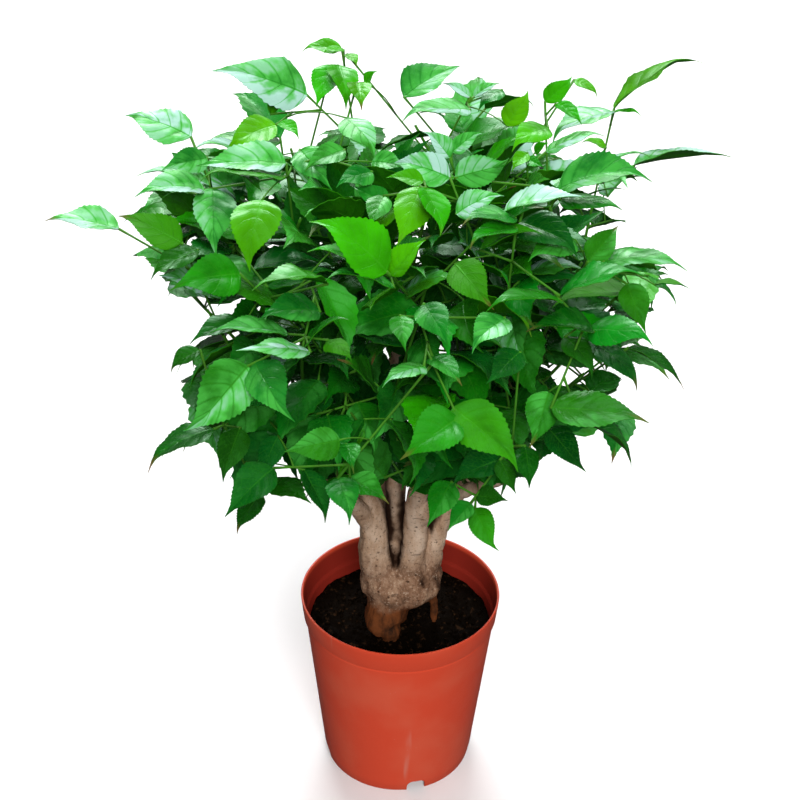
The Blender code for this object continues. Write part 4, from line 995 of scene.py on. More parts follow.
def grow_leaflets_in_view(crown, seen_leaflets, first):
    """The leaflets that the view shows, each on its own sight lines."""
    for seed, seen in enumerate(seen_leaflets, SEEN_SEED + first):
        dice = random.Random(seed)
        depth = crown_depth(seen.base) + seen.sink
        for shift in DEPTH_SHIFTS:
            base = VIEW_PLACE + sight_line(seen.base) * (depth + shift)
            tip = VIEW_PLACE + sight_line(seen.tip) * (depth + shift - seen.reach)
            size = (tip - base).length
            face = face_to_viewer(base, tip, seen.opening)
            outline = PLAIN_OUTLINE if size < SMALL_LEAFLET else LEAFLET_OUTLINE
            leaflet = Leaflet(base, tip, face, leaflet_width(size, dice), outline, seed)
            if any(crown.try_leaflet(shoot, leaflet) for shoot in crown.nearest_stems(base)[:4]):
                crown.in_view.append(leaflet)
                break
    bm = bmesh.new()
    for leaflet in crown.in_view:
        add_blade(bm, leaflet)
    crown.in_view_tree = BVHTree.FromBMesh(bm)
    bm.free()


def spray_leaflets(start, end, along, length, dice):
    """An end leaflet and pairs beside the twig, as (base, direction, length)."""
    twig = (end - start).normalized()
    up = face_for(end, end + along, dice.uniform(-SPRAY_ROLL, SPRAY_ROLL))
    side = twig.cross(up).normalized()
    yield end, along, length
    for back, spread, part in SPRAY_PAIRS:
        if back > SPRAY_BARE * (end - start).length:
            break
        for hand in (-1, 1):
            way = along * math.cos(spread) + side * hand * math.sin(spread)
            way += up * dice.uniform(*SPRAY_RISE)
            yield end - twig * back, way.normalized(), length * part * dice.uniform(*SPRAY_SIZES)


def grow_spray(crown, target, out, seed, dice):
    """One spray that reaches out to its target; its leaflets grow where there is room."""
    along = out.normalized()
    length = LEAFLET_LENGTH * dice.uniform(*SPRAY_LENGTHS)
    end = target - along * length / 2
    stem = min(crown.nearest_stems(end)[:3], key=lambda k: len(crown.leaflets[k]))
    start = crown.nearest_fork(stem, end - along * SPRAY_REACH)
    grown = 0
    for number, (base, way, size) in enumerate(spray_leaflets(start, end, along, length, dice)):
        tip = base + way * size
        width = leaflet_width(size, dice)
        face = face_for(base, tip, dice.uniform(-BLADE_ROLL, BLADE_ROLL))
        leaflet = Leaflet(base, tip, face, width, PLAIN_OUTLINE, seed + number)
        if crown.is_in_the_way(leaflet):
            continue
        if not grown:
            if not crown.has_room_for(stem, leaflet):
                continue
            if not crown.try_twig(stem, start, end):
                break
        if crown.try_leaflet(stem, leaflet, stalked=False):
            grown += 1
    return grown


def grow_sprays(crown, limit, targets, shells, spacings, seed):
    """Sprays all over the crown, each time where the widest gaps are, until there are enough."""
    dice = random.Random(seed)
    count = sum(len(grown) for grown in crown.leaflets)
    for spacing in spacings:
        for k in range(targets):
            way = way_round(SPRAY_TOP - SPRAY_FALL * (k + 0.5) / targets, k * GOLDEN_TURN)
            target = in_crown(way, shells[k % len(shells)])
            if min((target - middle).length for middle in crown.middles) < spacing:
                continue
            out = way + DROOP + jitter(dice, SPRAY_SPREAD)
            count += grow_spray(crown, target, out, (seed - 1) * SPRAY_SEED + k * 10, dice)
            if count >= limit:
                return


def open_lines(crown, toward):
    """The lines along one direction that pass through the crown and meet no leaflet."""
    spots, faces = [], []
    for blade_spots, blade_faces in crown.blades:
        faces += [[k + len(spots) for k in face] for face in blade_faces]
        spots += blade_spots
    tree = BVHTree.FromPolygons(spots, faces)
    right = Vector((0.0, 0.0, 1.0)).cross(toward).normalized()
    up = toward.cross(right)
    count = int(CROWN_REACH.x / GAP_SPACING)
    for row in range(-count, count + 1):
        for column in range(-count, count + 1):
            middle = CROWN_MIDDLE + (right * column + up * row) * GAP_SPACING
            far, near, meets = crown_cut(middle, toward, GAP_REACH)
            if meets and tree.ray_cast(middle + toward * BEYOND_CROWN, -toward)[0] is None:
                yield middle + toward * near, middle + toward * far


def plug_gaps(crown, limit):
    """Leaflets inside the crown on the lines through it that meet none."""
    dice = random.Random(SEED + 20)
    count = 0
    for around, above in GAP_LINES:
        toward = way_from(around, above)
        grown = []
        for near, far in list(open_lines(crown, toward)):
            if any(tree.ray_cast(near, -toward)[0] is not None for tree in grown):
                continue
            for _ in range(GAP_TRIES):
                middle = near.lerp(far, dice.uniform(*GAP_DEPTHS))
                outward = (middle - CROWN_MIDDLE).normalized()
                way = outward + jitter(dice, GAP_SPREAD) - GAP_DROOP
                way = (way - toward * way.dot(toward) * GAP_ASIDE).normalized()
                half = way * GAP_LEAFLET * dice.uniform(*GAP_LEAFLET_SIZES) / 2
                lean = GAP_FACE + toward + outward * GAP_FACE_OUT
                face = (lean - way * lean.dot(way)).normalized()
                width = leaflet_width(half.length * 2, dice)
                seed = (SEED + 19) * SPRAY_SEED + count
                leaflet = Leaflet(middle - half, middle + half, face, width, PLAIN_OUTLINE, seed)
                if crown.is_in_the_way(leaflet):
                    continue
                stems = crown.nearest_stems(leaflet.base)[:3]
                if any(crown.try_leaflet(stem, leaflet) for stem in stems):
                    grown.append(crown.solids[-1][-1])
                    count += 1
                    break
            if count >= limit:
                return


def grown_crown(paths, fill, plugs):
    """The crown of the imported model, and then the leaflets that fill it."""
    crown = Crown(paths.values())
    grow_stems(crown, paths)
    grow_leaflets_in_view(crown, LEAFLETS_IN_VIEW, 0)
    grow_sprays(crown, LEAFLET_COUNT, SPRAY_TARGETS, SPRAY_SHELLS, SPRAY_SPACINGS, SEED + 1)
    crown.room = FILL_ROOM
    crown.box = CAD_BOX
    grow_leaflets_in_view(crown, SMALL_LEAFLETS_IN_VIEW, len(LEAFLETS_IN_VIEW))
    grow_sprays(crown, LEAFLET_COUNT + fill, FILL_TARGETS, FILL_SHELLS, FILL_SPACINGS, SEED + 9)
    plug_gaps(crown, plugs)
    return crown


# Meshes and objects


def made_object(bm, name):
    """An object for a mesh, in the scene."""
    mesh = bpy.data.meshes.new(name)
    bm.to_mesh(mesh)
    bm.free()
    made = bpy.data.objects.new(name, mesh)
    bpy.context.scene.collection.objects.link(made)
    return made


def discard(holder):
    mesh = holder.data
    bpy.data.objects.remove(holder, do_unlink=True)
    bpy.data.meshes.remove(mesh)


def finished(bm, name, finishes, node):
    """Turn a mesh into a piece that rides on the root body and stands for its node."""
    piece = made_object(bm, name)
    for finish in finishes:
        piece.data.materials.append(finish)
    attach(piece, BODY)
    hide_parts(node)
    return piece


def shaped_by(bm, name, kind, **settings):
    """The mesh as one modifier leaves it."""
    holder = made_object(bm, name)
    modifier = holder.modifiers.new(name, kind)
    for key, value in settings.items():
        setattr(modifier, key, value)
    seen = holder.evaluated_get(bpy.context.evaluated_depsgraph_get())
    result = bmesh.new()
    result.from_mesh(seen.to_mesh())
    discard(holder)
    return result


def round_edges(bm, edges, radius, segments, clamp=False):
    bmesh.ops.bevel(
        bm, geom=edges, offset=radius, offset_type="OFFSET", affect="EDGES", segments=segments,
        profile=0.5, material=-1, clamp_overlap=clamp,
    )


def add_tube(bm, points, radii, sides):
    """A closed tube: a round face that is extruded from point to point. Gives its rings."""
    heading = points[1] - points[0]
    place = Matrix.Translation(points[0]) @ heading.to_track_quat("Z", "Y").to_matrix().to_4x4()
    disc = bmesh.ops.create_circle(bm, cap_ends=True, segments=sides, radius=radii[0], matrix=place)
    rings = [disc["verts"]]
    cap = [disc["verts"][0].link_faces[0]]
    for k in range(1, len(points)):
        ahead = points[min(k + 1, len(points) - 1)] - points[k - 1]
        grown = bmesh.ops.extrude_face_region(bm, geom=cap)["geom"]
        ring = [g for g in grown if isinstance(g, bmesh.types.BMVert)]
        cap = [g for g in grown if isinstance(g, bmesh.types.BMFace)]
        bend = heading.rotation_difference(ahead).to_matrix().to_4x4()
        size = Matrix.Scale(radii[k] / radii[k - 1], 4)
        move = Matrix.Translation(points[k]) @ bend @ size @ Matrix.Translation(-points[k - 1])
        bmesh.ops.transform(bm, matrix=move, verts=ring)
        heading = ahead
        rings.append(ring)
    return rings


def turned(profile, steps):
    """A closed body that is spun from its profile about Z, with merged poles."""
    bm = bmesh.new()
    spots = [bm.verts.new((x, 0.0, z)) for x, z in profile]
    lines = [bm.edges.new(pair) for pair in zip(spots, spots[1:])]
    bmesh.ops.spin(
        bm, geom=spots + lines, cent=(0, 0, 0), axis=(0, 0, 1), angle=math.tau, steps=steps,
        use_merge=True, use_duplicate=False,
    )
    bmesh.ops.remove_doubles(bm, verts=bm.verts, dist=2 * TINY)
    bmesh.ops.recalc_face_normals(bm, faces=bm.faces)
    return bm


def smooth_all(bm):
    for face in bm.faces:
        face.smooth = True


def lerp_table(table, x):
    """The value at x on the straight lines between the pairs of a table."""
    for (x0, y0), (x1, y1) in zip(table, table[1:]):
        if x <= x1:
            return y0 + (y1 - y0) * (x - x0) / (x1 - x0)
    return table[-1][1]


def lumpiness(spot, layers):
    """How high layers of noise lie at a spot."""
    return sum(height * noise.noise(spot * pitch) for pitch, height in layers)


def scaled(spot, sizes):
    return Vector(spot[i] * sizes[i] for i in range(3))


# Finishes


class Finish:
    """One procedural material: each method adds a node and gives the socket that comes out of it."""

    def __init__(self, name):
        self.material = bpy.data.materials.new(name)
        self.material.use_nodes = True
        self.tree = self.material.node_tree
        self.shader = self.tree.nodes["Principled BSDF"]
        self.place = self.tree.nodes.new("ShaderNodeTexCoord").outputs["Object"]

    def feed(self, socket, value):
        if isinstance(value, bpy.types.NodeSocket):
            self.tree.links.new(value, socket)
        elif socket.type == "RGBA":
            socket.default_value = (*value[:3], 1.0)
        else:
            socket.default_value = value

    def node(self, kind, inputs, **settings):
        made = self.tree.nodes.new(kind)
        for key, value in settings.items():
            setattr(made, key, value)
        for key, value in inputs.items():
            self.feed(made.inputs[key], value)
        return made

    def math(self, operation, a, b=0.0):
        return self.node("ShaderNodeMath", {0: a, 1: b}, operation=operation).outputs[0]

    def times(self, a, b):
        return self.math("MULTIPLY", a, b)

    def plus(self, a, b):
        return self.math("ADD", a, b)

    def minus(self, a, b):
        return self.math("SUBTRACT", a, b)

    def most(self, a, b):
        return self.math("MAXIMUM", a, b)

    def joined(self, x, y, z):
        return self.node("ShaderNodeCombineXYZ", {0: x, 1: y, 2: z}).outputs[0]

    def blend(self, factor, a, b):
        return self.node("ShaderNodeMix", {0: factor, 6: a, 7: b}, data_type="RGBA").outputs[2]

    def stretched(self, x, y, z, place=None):
        """The coordinates, stretched along each axis."""
        inputs = {0: place or self.place, 1: (x, y, z)}
        return self.node("ShaderNodeVectorMath", inputs, operation="MULTIPLY").outputs[0]

    def noise(self, scale, detail=2.0, place=None, rough=0.5):
        inputs = {"Vector": place or self.place, "Scale": scale, "Detail": detail, "Roughness": rough}
        return self.node("ShaderNodeTexNoise", inputs).outputs[0]

    def cells(self, scale, place=None, feature="F1"):
        inputs = {"Vector": place or self.place, "Scale": scale}
        return self.node("ShaderNodeTexVoronoi", inputs, feature=feature).outputs["Distance"]

    def step(self, value, low, high, start=0.0, end=1.0):
        """A smooth step of the value from low to high."""
        inputs = {"Value": value, "From Min": low, "From Max": high, "To Min": start, "To Max": end}
        made = self.node("ShaderNodeMapRange", inputs, interpolation_type="SMOOTHSTEP")
        return made.outputs["Result"]

    def parts(self, value):
        return self.node("ShaderNodeSeparateXYZ", {0: value}).outputs

    def attribute(self, name):
        return self.node("ShaderNodeAttribute", {}, attribute_name=name).outputs["Vector"]

    def ramp(self, factor, *stops):
        made = self.node("ShaderNodeValToRGB", {0: factor})
        ramp = made.color_ramp
        while len(ramp.elements) < len(stops):
            ramp.elements.new(0.5)
        for element, (position, colour) in zip(ramp.elements, stops):
            element.position = position
            element.color = (*colour[:3], 1.0)
        return made.outputs[0]

    def bump(self, height, distance, strength=1.0):
        inputs = {"Height": height, "Distance": distance, "Strength": strength}
        return self.node("ShaderNodeBump", inputs).outputs[0]

    def done(self, **values):
        """Set or link the shader's own sockets, and give the material."""
        for key, value in values.items():
            self.feed(self.shader.inputs[key.replace("_", " ")], value)
        return self.material


def pot_finish(settings):
    """Semi-matt moulded plastic, faded in clouds, with a few dry scuffs and specks of dust, and painted
    shade: a deep red on the inside wall from just under the rim down, for the shadow that falls there.
    """
    f = Finish("moulded red plastic")
    clouds = f.noise(14.0, 3.0)
    colour = f.blend(f.step(clouds, 0.42, 0.72), settings.colour, settings.faded)
    streaks = f.noise(46.0, 3.0, f.stretched(1.0, 1.0, 0.12))
    scuffed = f.times(f.step(streaks, 0.62, 0.74), f.step(f.noise(9.0, 2.0), 0.5, 0.62))
    specks = f.step(f.cells(150.0), 0.10, 0.03)
    dusty = f.times(specks, f.step(f.noise(22.0), 0.56, 0.66))
    worn = f.most(f.times(scuffed, 0.45), f.times(dusty, 0.7))
    colour = f.blend(worn, colour, settings.scuff)
    # Painted shade: the inside wall, from just under the rim down, is darkened to a deep red for the
    # shadow inside the pot
    inputs = {0: f.node("ShaderNodeNewGeometry", {}).outputs["Normal"], 1: f.stretched(1.0, 1.0, 0.0)}
    outward = f.node("ShaderNodeVectorMath", inputs, operation="DOT_PRODUCT").outputs["Value"]
    below = f.step(f.parts(f.place)[2], POT_HEIGHT - 0.001, POT_HEIGHT - 0.006)
    colour = f.blend(f.times(f.step(outward, -0.02, -0.06), below), colour, settings.painted_inside_shade)
    rough = f.plus(f.step(f.noise(60.0, 4.0), 0.2, 0.8, 0.34, 0.46), f.times(worn, 0.3))
    skin = f.plus(f.noise(420.0, 2.0), f.times(f.noise(30.0, 2.0), 2.0))
    return f.done(
        Base_Color=colour, Roughness=rough, Normal=f.bump(skin, 0.00025, 0.5), Specular_IOR_Level=0.22
    )


def soil_finish(settings):
    """Moist dark soil, darkened further as painted shade, with brown crumbs."""
    f = Finish("potting soil")
    crumbs = f.step(f.noise(170.0, 3.0), 0.58, 0.72)
    chips = f.step(f.cells(95.0), 0.16, 0.06)
    colour = f.blend(f.most(crumbs, f.times(chips, 0.8)), settings.colour, settings.crumb)
    rough = f.step(f.noise(120.0, 2.0), 0.3, 0.7, 0.72, 0.98)
    grit = f.noise(520.0, 4.0, rough=0.7)
    return f.done(
        Base_Color=colour, Roughness=rough, Normal=f.bump(grit, 0.0016), Specular_IOR_Level=0.03
    )


def bark_finish(settings):
    """Grainy brown knot, paler limbs, dark clefts and pits, a bare orange-brown root, and painted shade,
    as dark as the clefts, where the bark is hidden between its parts.
    """
    f = Finish("old bark")
    along = f.stretched(1.0, 1.0, 0.45)
    height = f.parts(f.place)[2]
    cloud = f.noise(55.0, 5.0, along, 0.6)
    risen = f.plus(height, f.times(f.noise(40.0, 2.0), 0.03))
    knot = f.ramp(cloud, (0.34, settings.cleft_and_shade), (0.50, settings.colour), (0.74, settings.limb))
    limb = f.ramp(cloud, (0.30, settings.colour), (0.46, settings.limb), (0.66, settings.pale))
    colour = f.blend(f.step(risen, 0.252, 0.282), knot, limb)
    grains = f.noise(430.0, 3.0, rough=0.7)
    colour = f.blend(f.step(grains, 0.56, 0.70, 0.0, 0.55), colour, settings.pale)
    colour = f.blend(f.step(grains, 0.44, 0.30, 0.0, 0.75), colour, settings.cleft_and_shade)
    pits = f.step(f.cells(105.0), 0.16, 0.07)
    rings = f.step(f.noise(100.0, 3.0, f.stretched(0.4, 0.4, 2.0), 0.6), 0.38, 0.29)
    split = f.most(f.times(pits, 0.7), f.times(rings, 0.5))
    colour = f.blend(split, colour, settings.cleft_and_shade)
    bare = f.plus(height, f.times(f.noise(70.0, 3.0), 0.014))
    root = f.ramp(f.noise(90.0, 5.0, along, 0.7), (0.34, settings.cleft_and_shade), (0.58, settings.root))
    colour = f.blend(f.step(bare, 0.221, 0.209), colour, root)
    # Painted shade: where the bark is hidden by other bark, its colour darkens to the colour of the
    # clefts
    hidden_shade = f.parts(f.attribute("hidden_shade"))[0]
    colour = f.blend(f.step(hidden_shade, 0.15, 0.70), colour, settings.cleft_and_shade)
    relief = f.minus(f.plus(cloud, f.times(grains, 0.35)), f.times(split, 0.6))
    return f.done(
        Base_Color=colour, Roughness=0.82, Normal=f.bump(relief, 0.0016), Specular_IOR_Level=0.15
    )


def leaf_lines(f, u, t, turn):
    """A leaf's veins from its own coordinates: the lines, the net between them and the puffed fields."""
    wobble = f.times(f.minus(f.noise(70.0, 2.0), 0.5), 0.16)
    phase = f.math("FRACT", f.plus(f.times(t, float(VEIN_PAIRS)), wobble))
    gap = f.math("ABSOLUTE", f.minus(phase, 0.5))
    aside = f.math("ABSOLUTE", u)
    narrow = f.minus(0.060, f.times(aside, 0.035))
    side_veins = f.step(f.math("DIVIDE", gap, narrow), 1.0, 0.2)
    midrib = f.step(aside, 0.060, 0.015)
    lines = f.most(f.times(side_veins, 0.75), midrib)
    spot = f.joined(f.times(u, 2.6), f.times(t, 10.0), f.times(turn, 37.0))
    net = f.step(f.cells(1.7, spot, "DISTANCE_TO_EDGE"), 0.10, 0.02)
    field = f.step(gap, 0.0, 0.42)
    return lines, net, field


def leaf_finish(settings):
    """Glossy leaf with paler veins, a fine net, a colour that follows its age, and a painted sheen: a
    green, then pale mint reflection painted into the colour.
    """
    f = Finish("glossy leaf")
    u, t, turn = f.parts(f.attribute("place"))
    young, sheen_paint, dry = f.parts(f.attribute("tone"))
    lines, net, field = leaf_lines(f, u, t, turn)
    # The colour follows the leaflet's youth, which for leaflets the view doesn't show is partly painted
    # shade inside the crown and painted light at the top
    ages = ((0.0, settings.old), (0.42, settings.green), (0.70, settings.bright), (1.0, settings.young))
    colour = f.ramp(young, *ages)
    mottle = f.step(f.noise(38.0, 3.0), 0.25, 0.75, 0.72, 1.22)
    shade = {"Hue": f.step(turn, 0.0, 1.0, 0.488, 0.512), "Value": mottle, "Color": colour}
    colour = f.node("ShaderNodeHueSaturation", shade).outputs[0]
    colour = f.blend(f.times(lines, 0.20), colour, settings.vein)
    colour = f.blend(f.times(net, 0.10), colour, settings.vein)
    # Painted sheen: one half of the blade, in streaks and over the puffed fields, thinner on the veins,
    # as a painted reflection
    hand = f.math("SIGN", f.minus(f.math("FRACT", f.times(turn, 7.0)), 0.5))
    half = f.step(f.times(u, hand), -0.12, 0.20, 0.45, 1.0)
    streaks = f.noise(1.0, 3.0, f.joined(f.times(u, 1.1), f.times(t, 5.0), f.times(turn, 53.0)))
    patches = f.plus(f.times(f.noise(36.0, 3.0), 0.7), f.times(streaks, 0.3))
    clouds = f.step(patches, 0.40, 0.60, 0.30, 1.0)
    fields = f.times(f.step(field, 0.0, 0.30, 0.76, 1.0), f.step(lines, 0.0, 1.0, 1.0, 0.40))
    painted_sheen = f.times(f.times(sheen_paint, clouds), f.times(half, fields))
    # The painted reflection: green where the sheen is light, pale mint where it is strongest
    colour = f.blend(f.step(painted_sheen, 0.0, 0.36), colour, settings.sheen)
    colour = f.blend(f.step(painted_sheen, 0.26, 0.80), colour, settings.sheen_paint)
    ends = f.times(f.step(t, 0.99, 1.08), dry)
    colour = f.blend(ends, colour, settings.dry)
    rough = f.step(f.noise(90.0, 3.0), 0.25, 0.75, 0.20, 0.32)
    relief = f.minus(f.times(field, 0.8), f.plus(lines, f.times(net, 0.22)))
    return f.done(
        Base_Color=colour, Roughness=rough, Normal=f.bump(relief, 0.0002, 0.7), Specular_IOR_Level=0.40,
        Specular_Tint=(0.45, 1.0, 0.60),
    )


def underside_finish(settings):
    """Matt paler underside with raised veins."""
    f = Finish("matt leaf underside")
    u, t, turn = f.parts(f.attribute("place"))
    young, _, dry = f.parts(f.attribute("tone"))
    lines, net, field = leaf_lines(f, u, t, turn)
    base = f.blend(f.step(f.noise(50.0, 3.0), 0.3, 0.7, 0.0, 0.4), settings.under, settings.green)
    colour = f.blend(f.times(young, 0.6), base, settings.young)
    colour = f.blend(f.times(lines, 0.5), colour, settings.vein)
    colour = f.blend(f.times(f.step(t, 0.99, 1.08), dry), colour, settings.dry)
    relief = f.minus(f.plus(lines, f.times(net, 0.3)), f.times(field, 0.4))
    return f.done(
        Base_Color=colour, Roughness=0.62, Normal=f.bump(relief, 0.0005), Specular_IOR_Level=0.25
    )


def stalk_finish(settings):
    """Smooth green stalks, woody towards the trunk."""
    f = Finish("green stalk")
    woody = f.parts(f.attribute("tone"))[1]
    green = f.blend(f.step(f.noise(80.0, 3.0), 0.3, 0.7, 0.0, 0.35), settings.stalk, settings.vein)
    barky = f.times(woody, f.step(f.noise(160.0, 4.0), 0.25, 0.6, 0.7, 1.0))
    colour = f.blend(barky, green, settings.woody)
    fibres = f.noise(600.0, 2.0, f.stretched(1.0, 1.0, 0.25))
    return f.done(
        Base_Color=colour, Roughness=0.46, Normal=f.bump(fibres, 0.0003), Specular_IOR_Level=0.3
    )


def floor_finish(settings):
    """Plain pale floor with a faint cloudiness."""
    f = Finish("pale floor")
    paler = [min(1.0, c * 1.02) for c in settings.floor]
    colour = f.blend(f.noise(0.8, 2.0), settings.floor, paler)
    return f.done(Base_Color=colour, Roughness=0.9)


# Building the pieces


def pot_radius(height):
    """The outer radius of the wall below the rim band."""
    top = POT_RIM_RADIUS - RIM_BAND_STEP
    return POT_FOOT_RADIUS + (top - POT_FOOT_RADIUS) * height / POT_HEIGHT


def build_pot(settings):
    """A thin turned wall with rounded edges, a banded rim, a raised floor and a notched foot."""
    band_foot = POT_HEIGHT - RIM_BAND_HEIGHT
    floor = POT_FLOOR_HEIGHT
    foot = POT_FOOT_RADIUS - POT_FOOT_TUCK
    bm = turned((
        (0.0, floor),
        (foot - POT_WALL - POT_FOOT_TUCK * 4, floor),
        (foot - POT_WALL, floor - FOOT_RING_STEP),
        (foot - POT_WALL, 0.0),
        (foot, 0.0),
        (pot_radius(floor), floor),
        (pot_radius(band_foot), band_foot - BAND_GROOVE_HEIGHT),
        (pot_radius(band_foot) - BAND_GROOVE_DEPTH, band_foot - BAND_LEDGE),
        (pot_radius(band_foot) + RIM_BAND_STEP, band_foot),
        (POT_RIM_RADIUS - RIM_TAPER, POT_HEIGHT - POT_LIP * 4),
        (POT_RIM_RADIUS, POT_HEIGHT),
        (POT_RIM_RADIUS - POT_WALL, POT_HEIGHT),
        (pot_radius(band_foot) - POT_WALL + RIM_BAND_STEP * 0.8, band_foot),
        (pot_radius(band_foot - BAND_GROOVE_HEIGHT) - POT_WALL, band_foot - BAND_GROOVE_HEIGHT),
        (pot_radius(floor + POT_CORNER) - POT_WALL, floor + POT_CORNER),
        (pot_radius(floor) - POT_WALL - POT_CORNER / 2, floor + POT_WALL),
        (0.0, floor + POT_WALL),
    ), settings.turn_steps)
    level = [e for e in bm.edges if abs(e.verts[0].co.z - e.verts[1].co.z) < TINY]
    rims = [e for e in level if e.calc_face_angle(0.0) > RIM_ANGLE]
    round_edges(bm, rims, settings.rounding, 3, clamp=True)
    notches = bmesh.new()
    for angle in FOOT_NOTCH_TURNS:
        around = math.radians(angle - 90.0)
        middle = (POT_FOOT_RADIUS * math.cos(around), POT_FOOT_RADIUS * math.sin(around), 0.0)
        size = Matrix.Diagonal((FOOT_NOTCH_DEPTH, FOOT_NOTCH_WIDTH, 2 * FOOT_NOTCH_HEIGHT, 1.0))
        place = Matrix.Translation(middle) @ Matrix.Rotation(around, 4, "Z") @ size
        bmesh.ops.create_cube(notches, size=1.0, matrix=place)
    upper = [e for e in notches.edges if all(v.co.z > 0.0 for v in e.verts)]
    inward = [e for e in upper if abs(e.calc_length() - FOOT_NOTCH_DEPTH) < 10 * TINY]
    round_edges(notches, inward, FOOT_NOTCH_ROUNDING, 4)
    cutter = made_object(notches, "foot notches")
    bm = shaped_by(bm, "notched", "BOOLEAN", operation="DIFFERENCE", object=cutter, solver="EXACT")
    discard(cutter)
    smooth_all(bm)
    for edge in bm.edges:
        edge.smooth = edge.calc_face_angle(0.0) < SHARP_EDGE
    return finished(bm, "pot_moulded", [pot_finish(settings)], "pot")


def build_soil(settings):
    """Soil that fills the pot, lumpy on top, with loose crumbs."""
    wall = POT_WALL + CLEARANCE
    floor = POT_FLOOR_HEIGHT + POT_WALL + CLEARANCE
    edge = pot_radius(SOIL_HEIGHT) - wall
    profile = [(edge * k / SOIL_RINGS, SOIL_HEIGHT) for k in range(SOIL_RINGS)]
    profile += [
        (edge, SOIL_HEIGHT - SOIL_EDGE_DROP),
        (pot_radius(floor + POT_CORNER) - wall, floor + POT_CORNER),
        (pot_radius(floor) - wall - POT_CORNER / 2, floor),
        (0.0, floor),
    ]
    bm = turned(profile, SOIL_TURN_STEPS)
    for vertex in bm.verts:
        if vertex.co.z > SOIL_HEIGHT - 2 * SOIL_EDGE_DROP:
            spot = vertex.co.copy()
            sink = SOIL_SINK * max(0.0, spot.xy.length / edge - SOIL_SINK_FROM)
            vertex.co.z += settings.lump * lumpiness(spot, SOIL_LUMPS) * SOIL_CALM - sink
            if spot.xy.length < edge - SOIL_STILL_EDGE:
                for axis, away in enumerate((Vector((7.0, 0.0, 0.0)), Vector((0.0, 9.0, 0.0)))):
                    vertex.co[axis] += SOIL_SHIFT * noise.noise(spot * SOIL_SHIFT_PITCH + away)
    surface = BVHTree.FromBMesh(bm)
    dice = random.Random(SEED + 4)
    for _ in range(settings.clods):
        reach = math.sqrt(dice.random()) * (edge - CLOD_MARGIN)
        turn = dice.uniform(0.0, math.tau)
        above = Vector((reach * math.cos(turn), reach * math.sin(turn), SOIL_HEIGHT + CLOD_DROP))
        ground = surface.ray_cast(above, Vector((0.0, 0.0, -1.0)))[0]
        size = settings.clod_size * (CLOD_SIZES[0] + CLOD_SIZES[1] * dice.random() ** 3)
        sizes = [dice.uniform(*span) for span in CLOD_SHAPES]
        tilt = Euler([dice.uniform(0.0, math.pi) for _ in range(3)]).to_matrix().to_4x4()
        place = Matrix.Translation(ground) @ tilt @ Matrix.Diagonal((*sizes, 1.0))
        clod = bmesh.ops.create_icosphere(bm, subdivisions=1, radius=size, matrix=place)["verts"]
        for vertex in clod:
            vertex.co += (vertex.co - ground) * dice.uniform(-CLOD_DENT, CLOD_DENT)
    smooth_all(bm)
    return finished(bm, "soil_bed", [soil_finish(settings)], "soil")


def hollowness(tree, spot, normal, dice):
    """How hidden a spot on the bark is, from 0 in the open to 1 deep in a cleft, which the bark's finish
    paints as shade.
    """
    hits = 0
    for _ in range(HOLLOW_RAYS):
        way = normal + jitter(dice, HOLLOW_SPREAD)
        hit = tree.ray_cast(spot + normal * HOLLOW_START, way.normalized(), HOLLOW_REACH)
        hits += hit[0] is not None
    return hits / HOLLOW_RAYS


def evened(depths, around):
    """Each depth averaged with those around it, a few times over."""
    for _ in range(EVEN_ROUNDS):
        depths = [
            (depth + sum(depths[k] for k in near)) / (1 + len(near))
            for depth, near in zip(depths, around)
        ]
    return depths


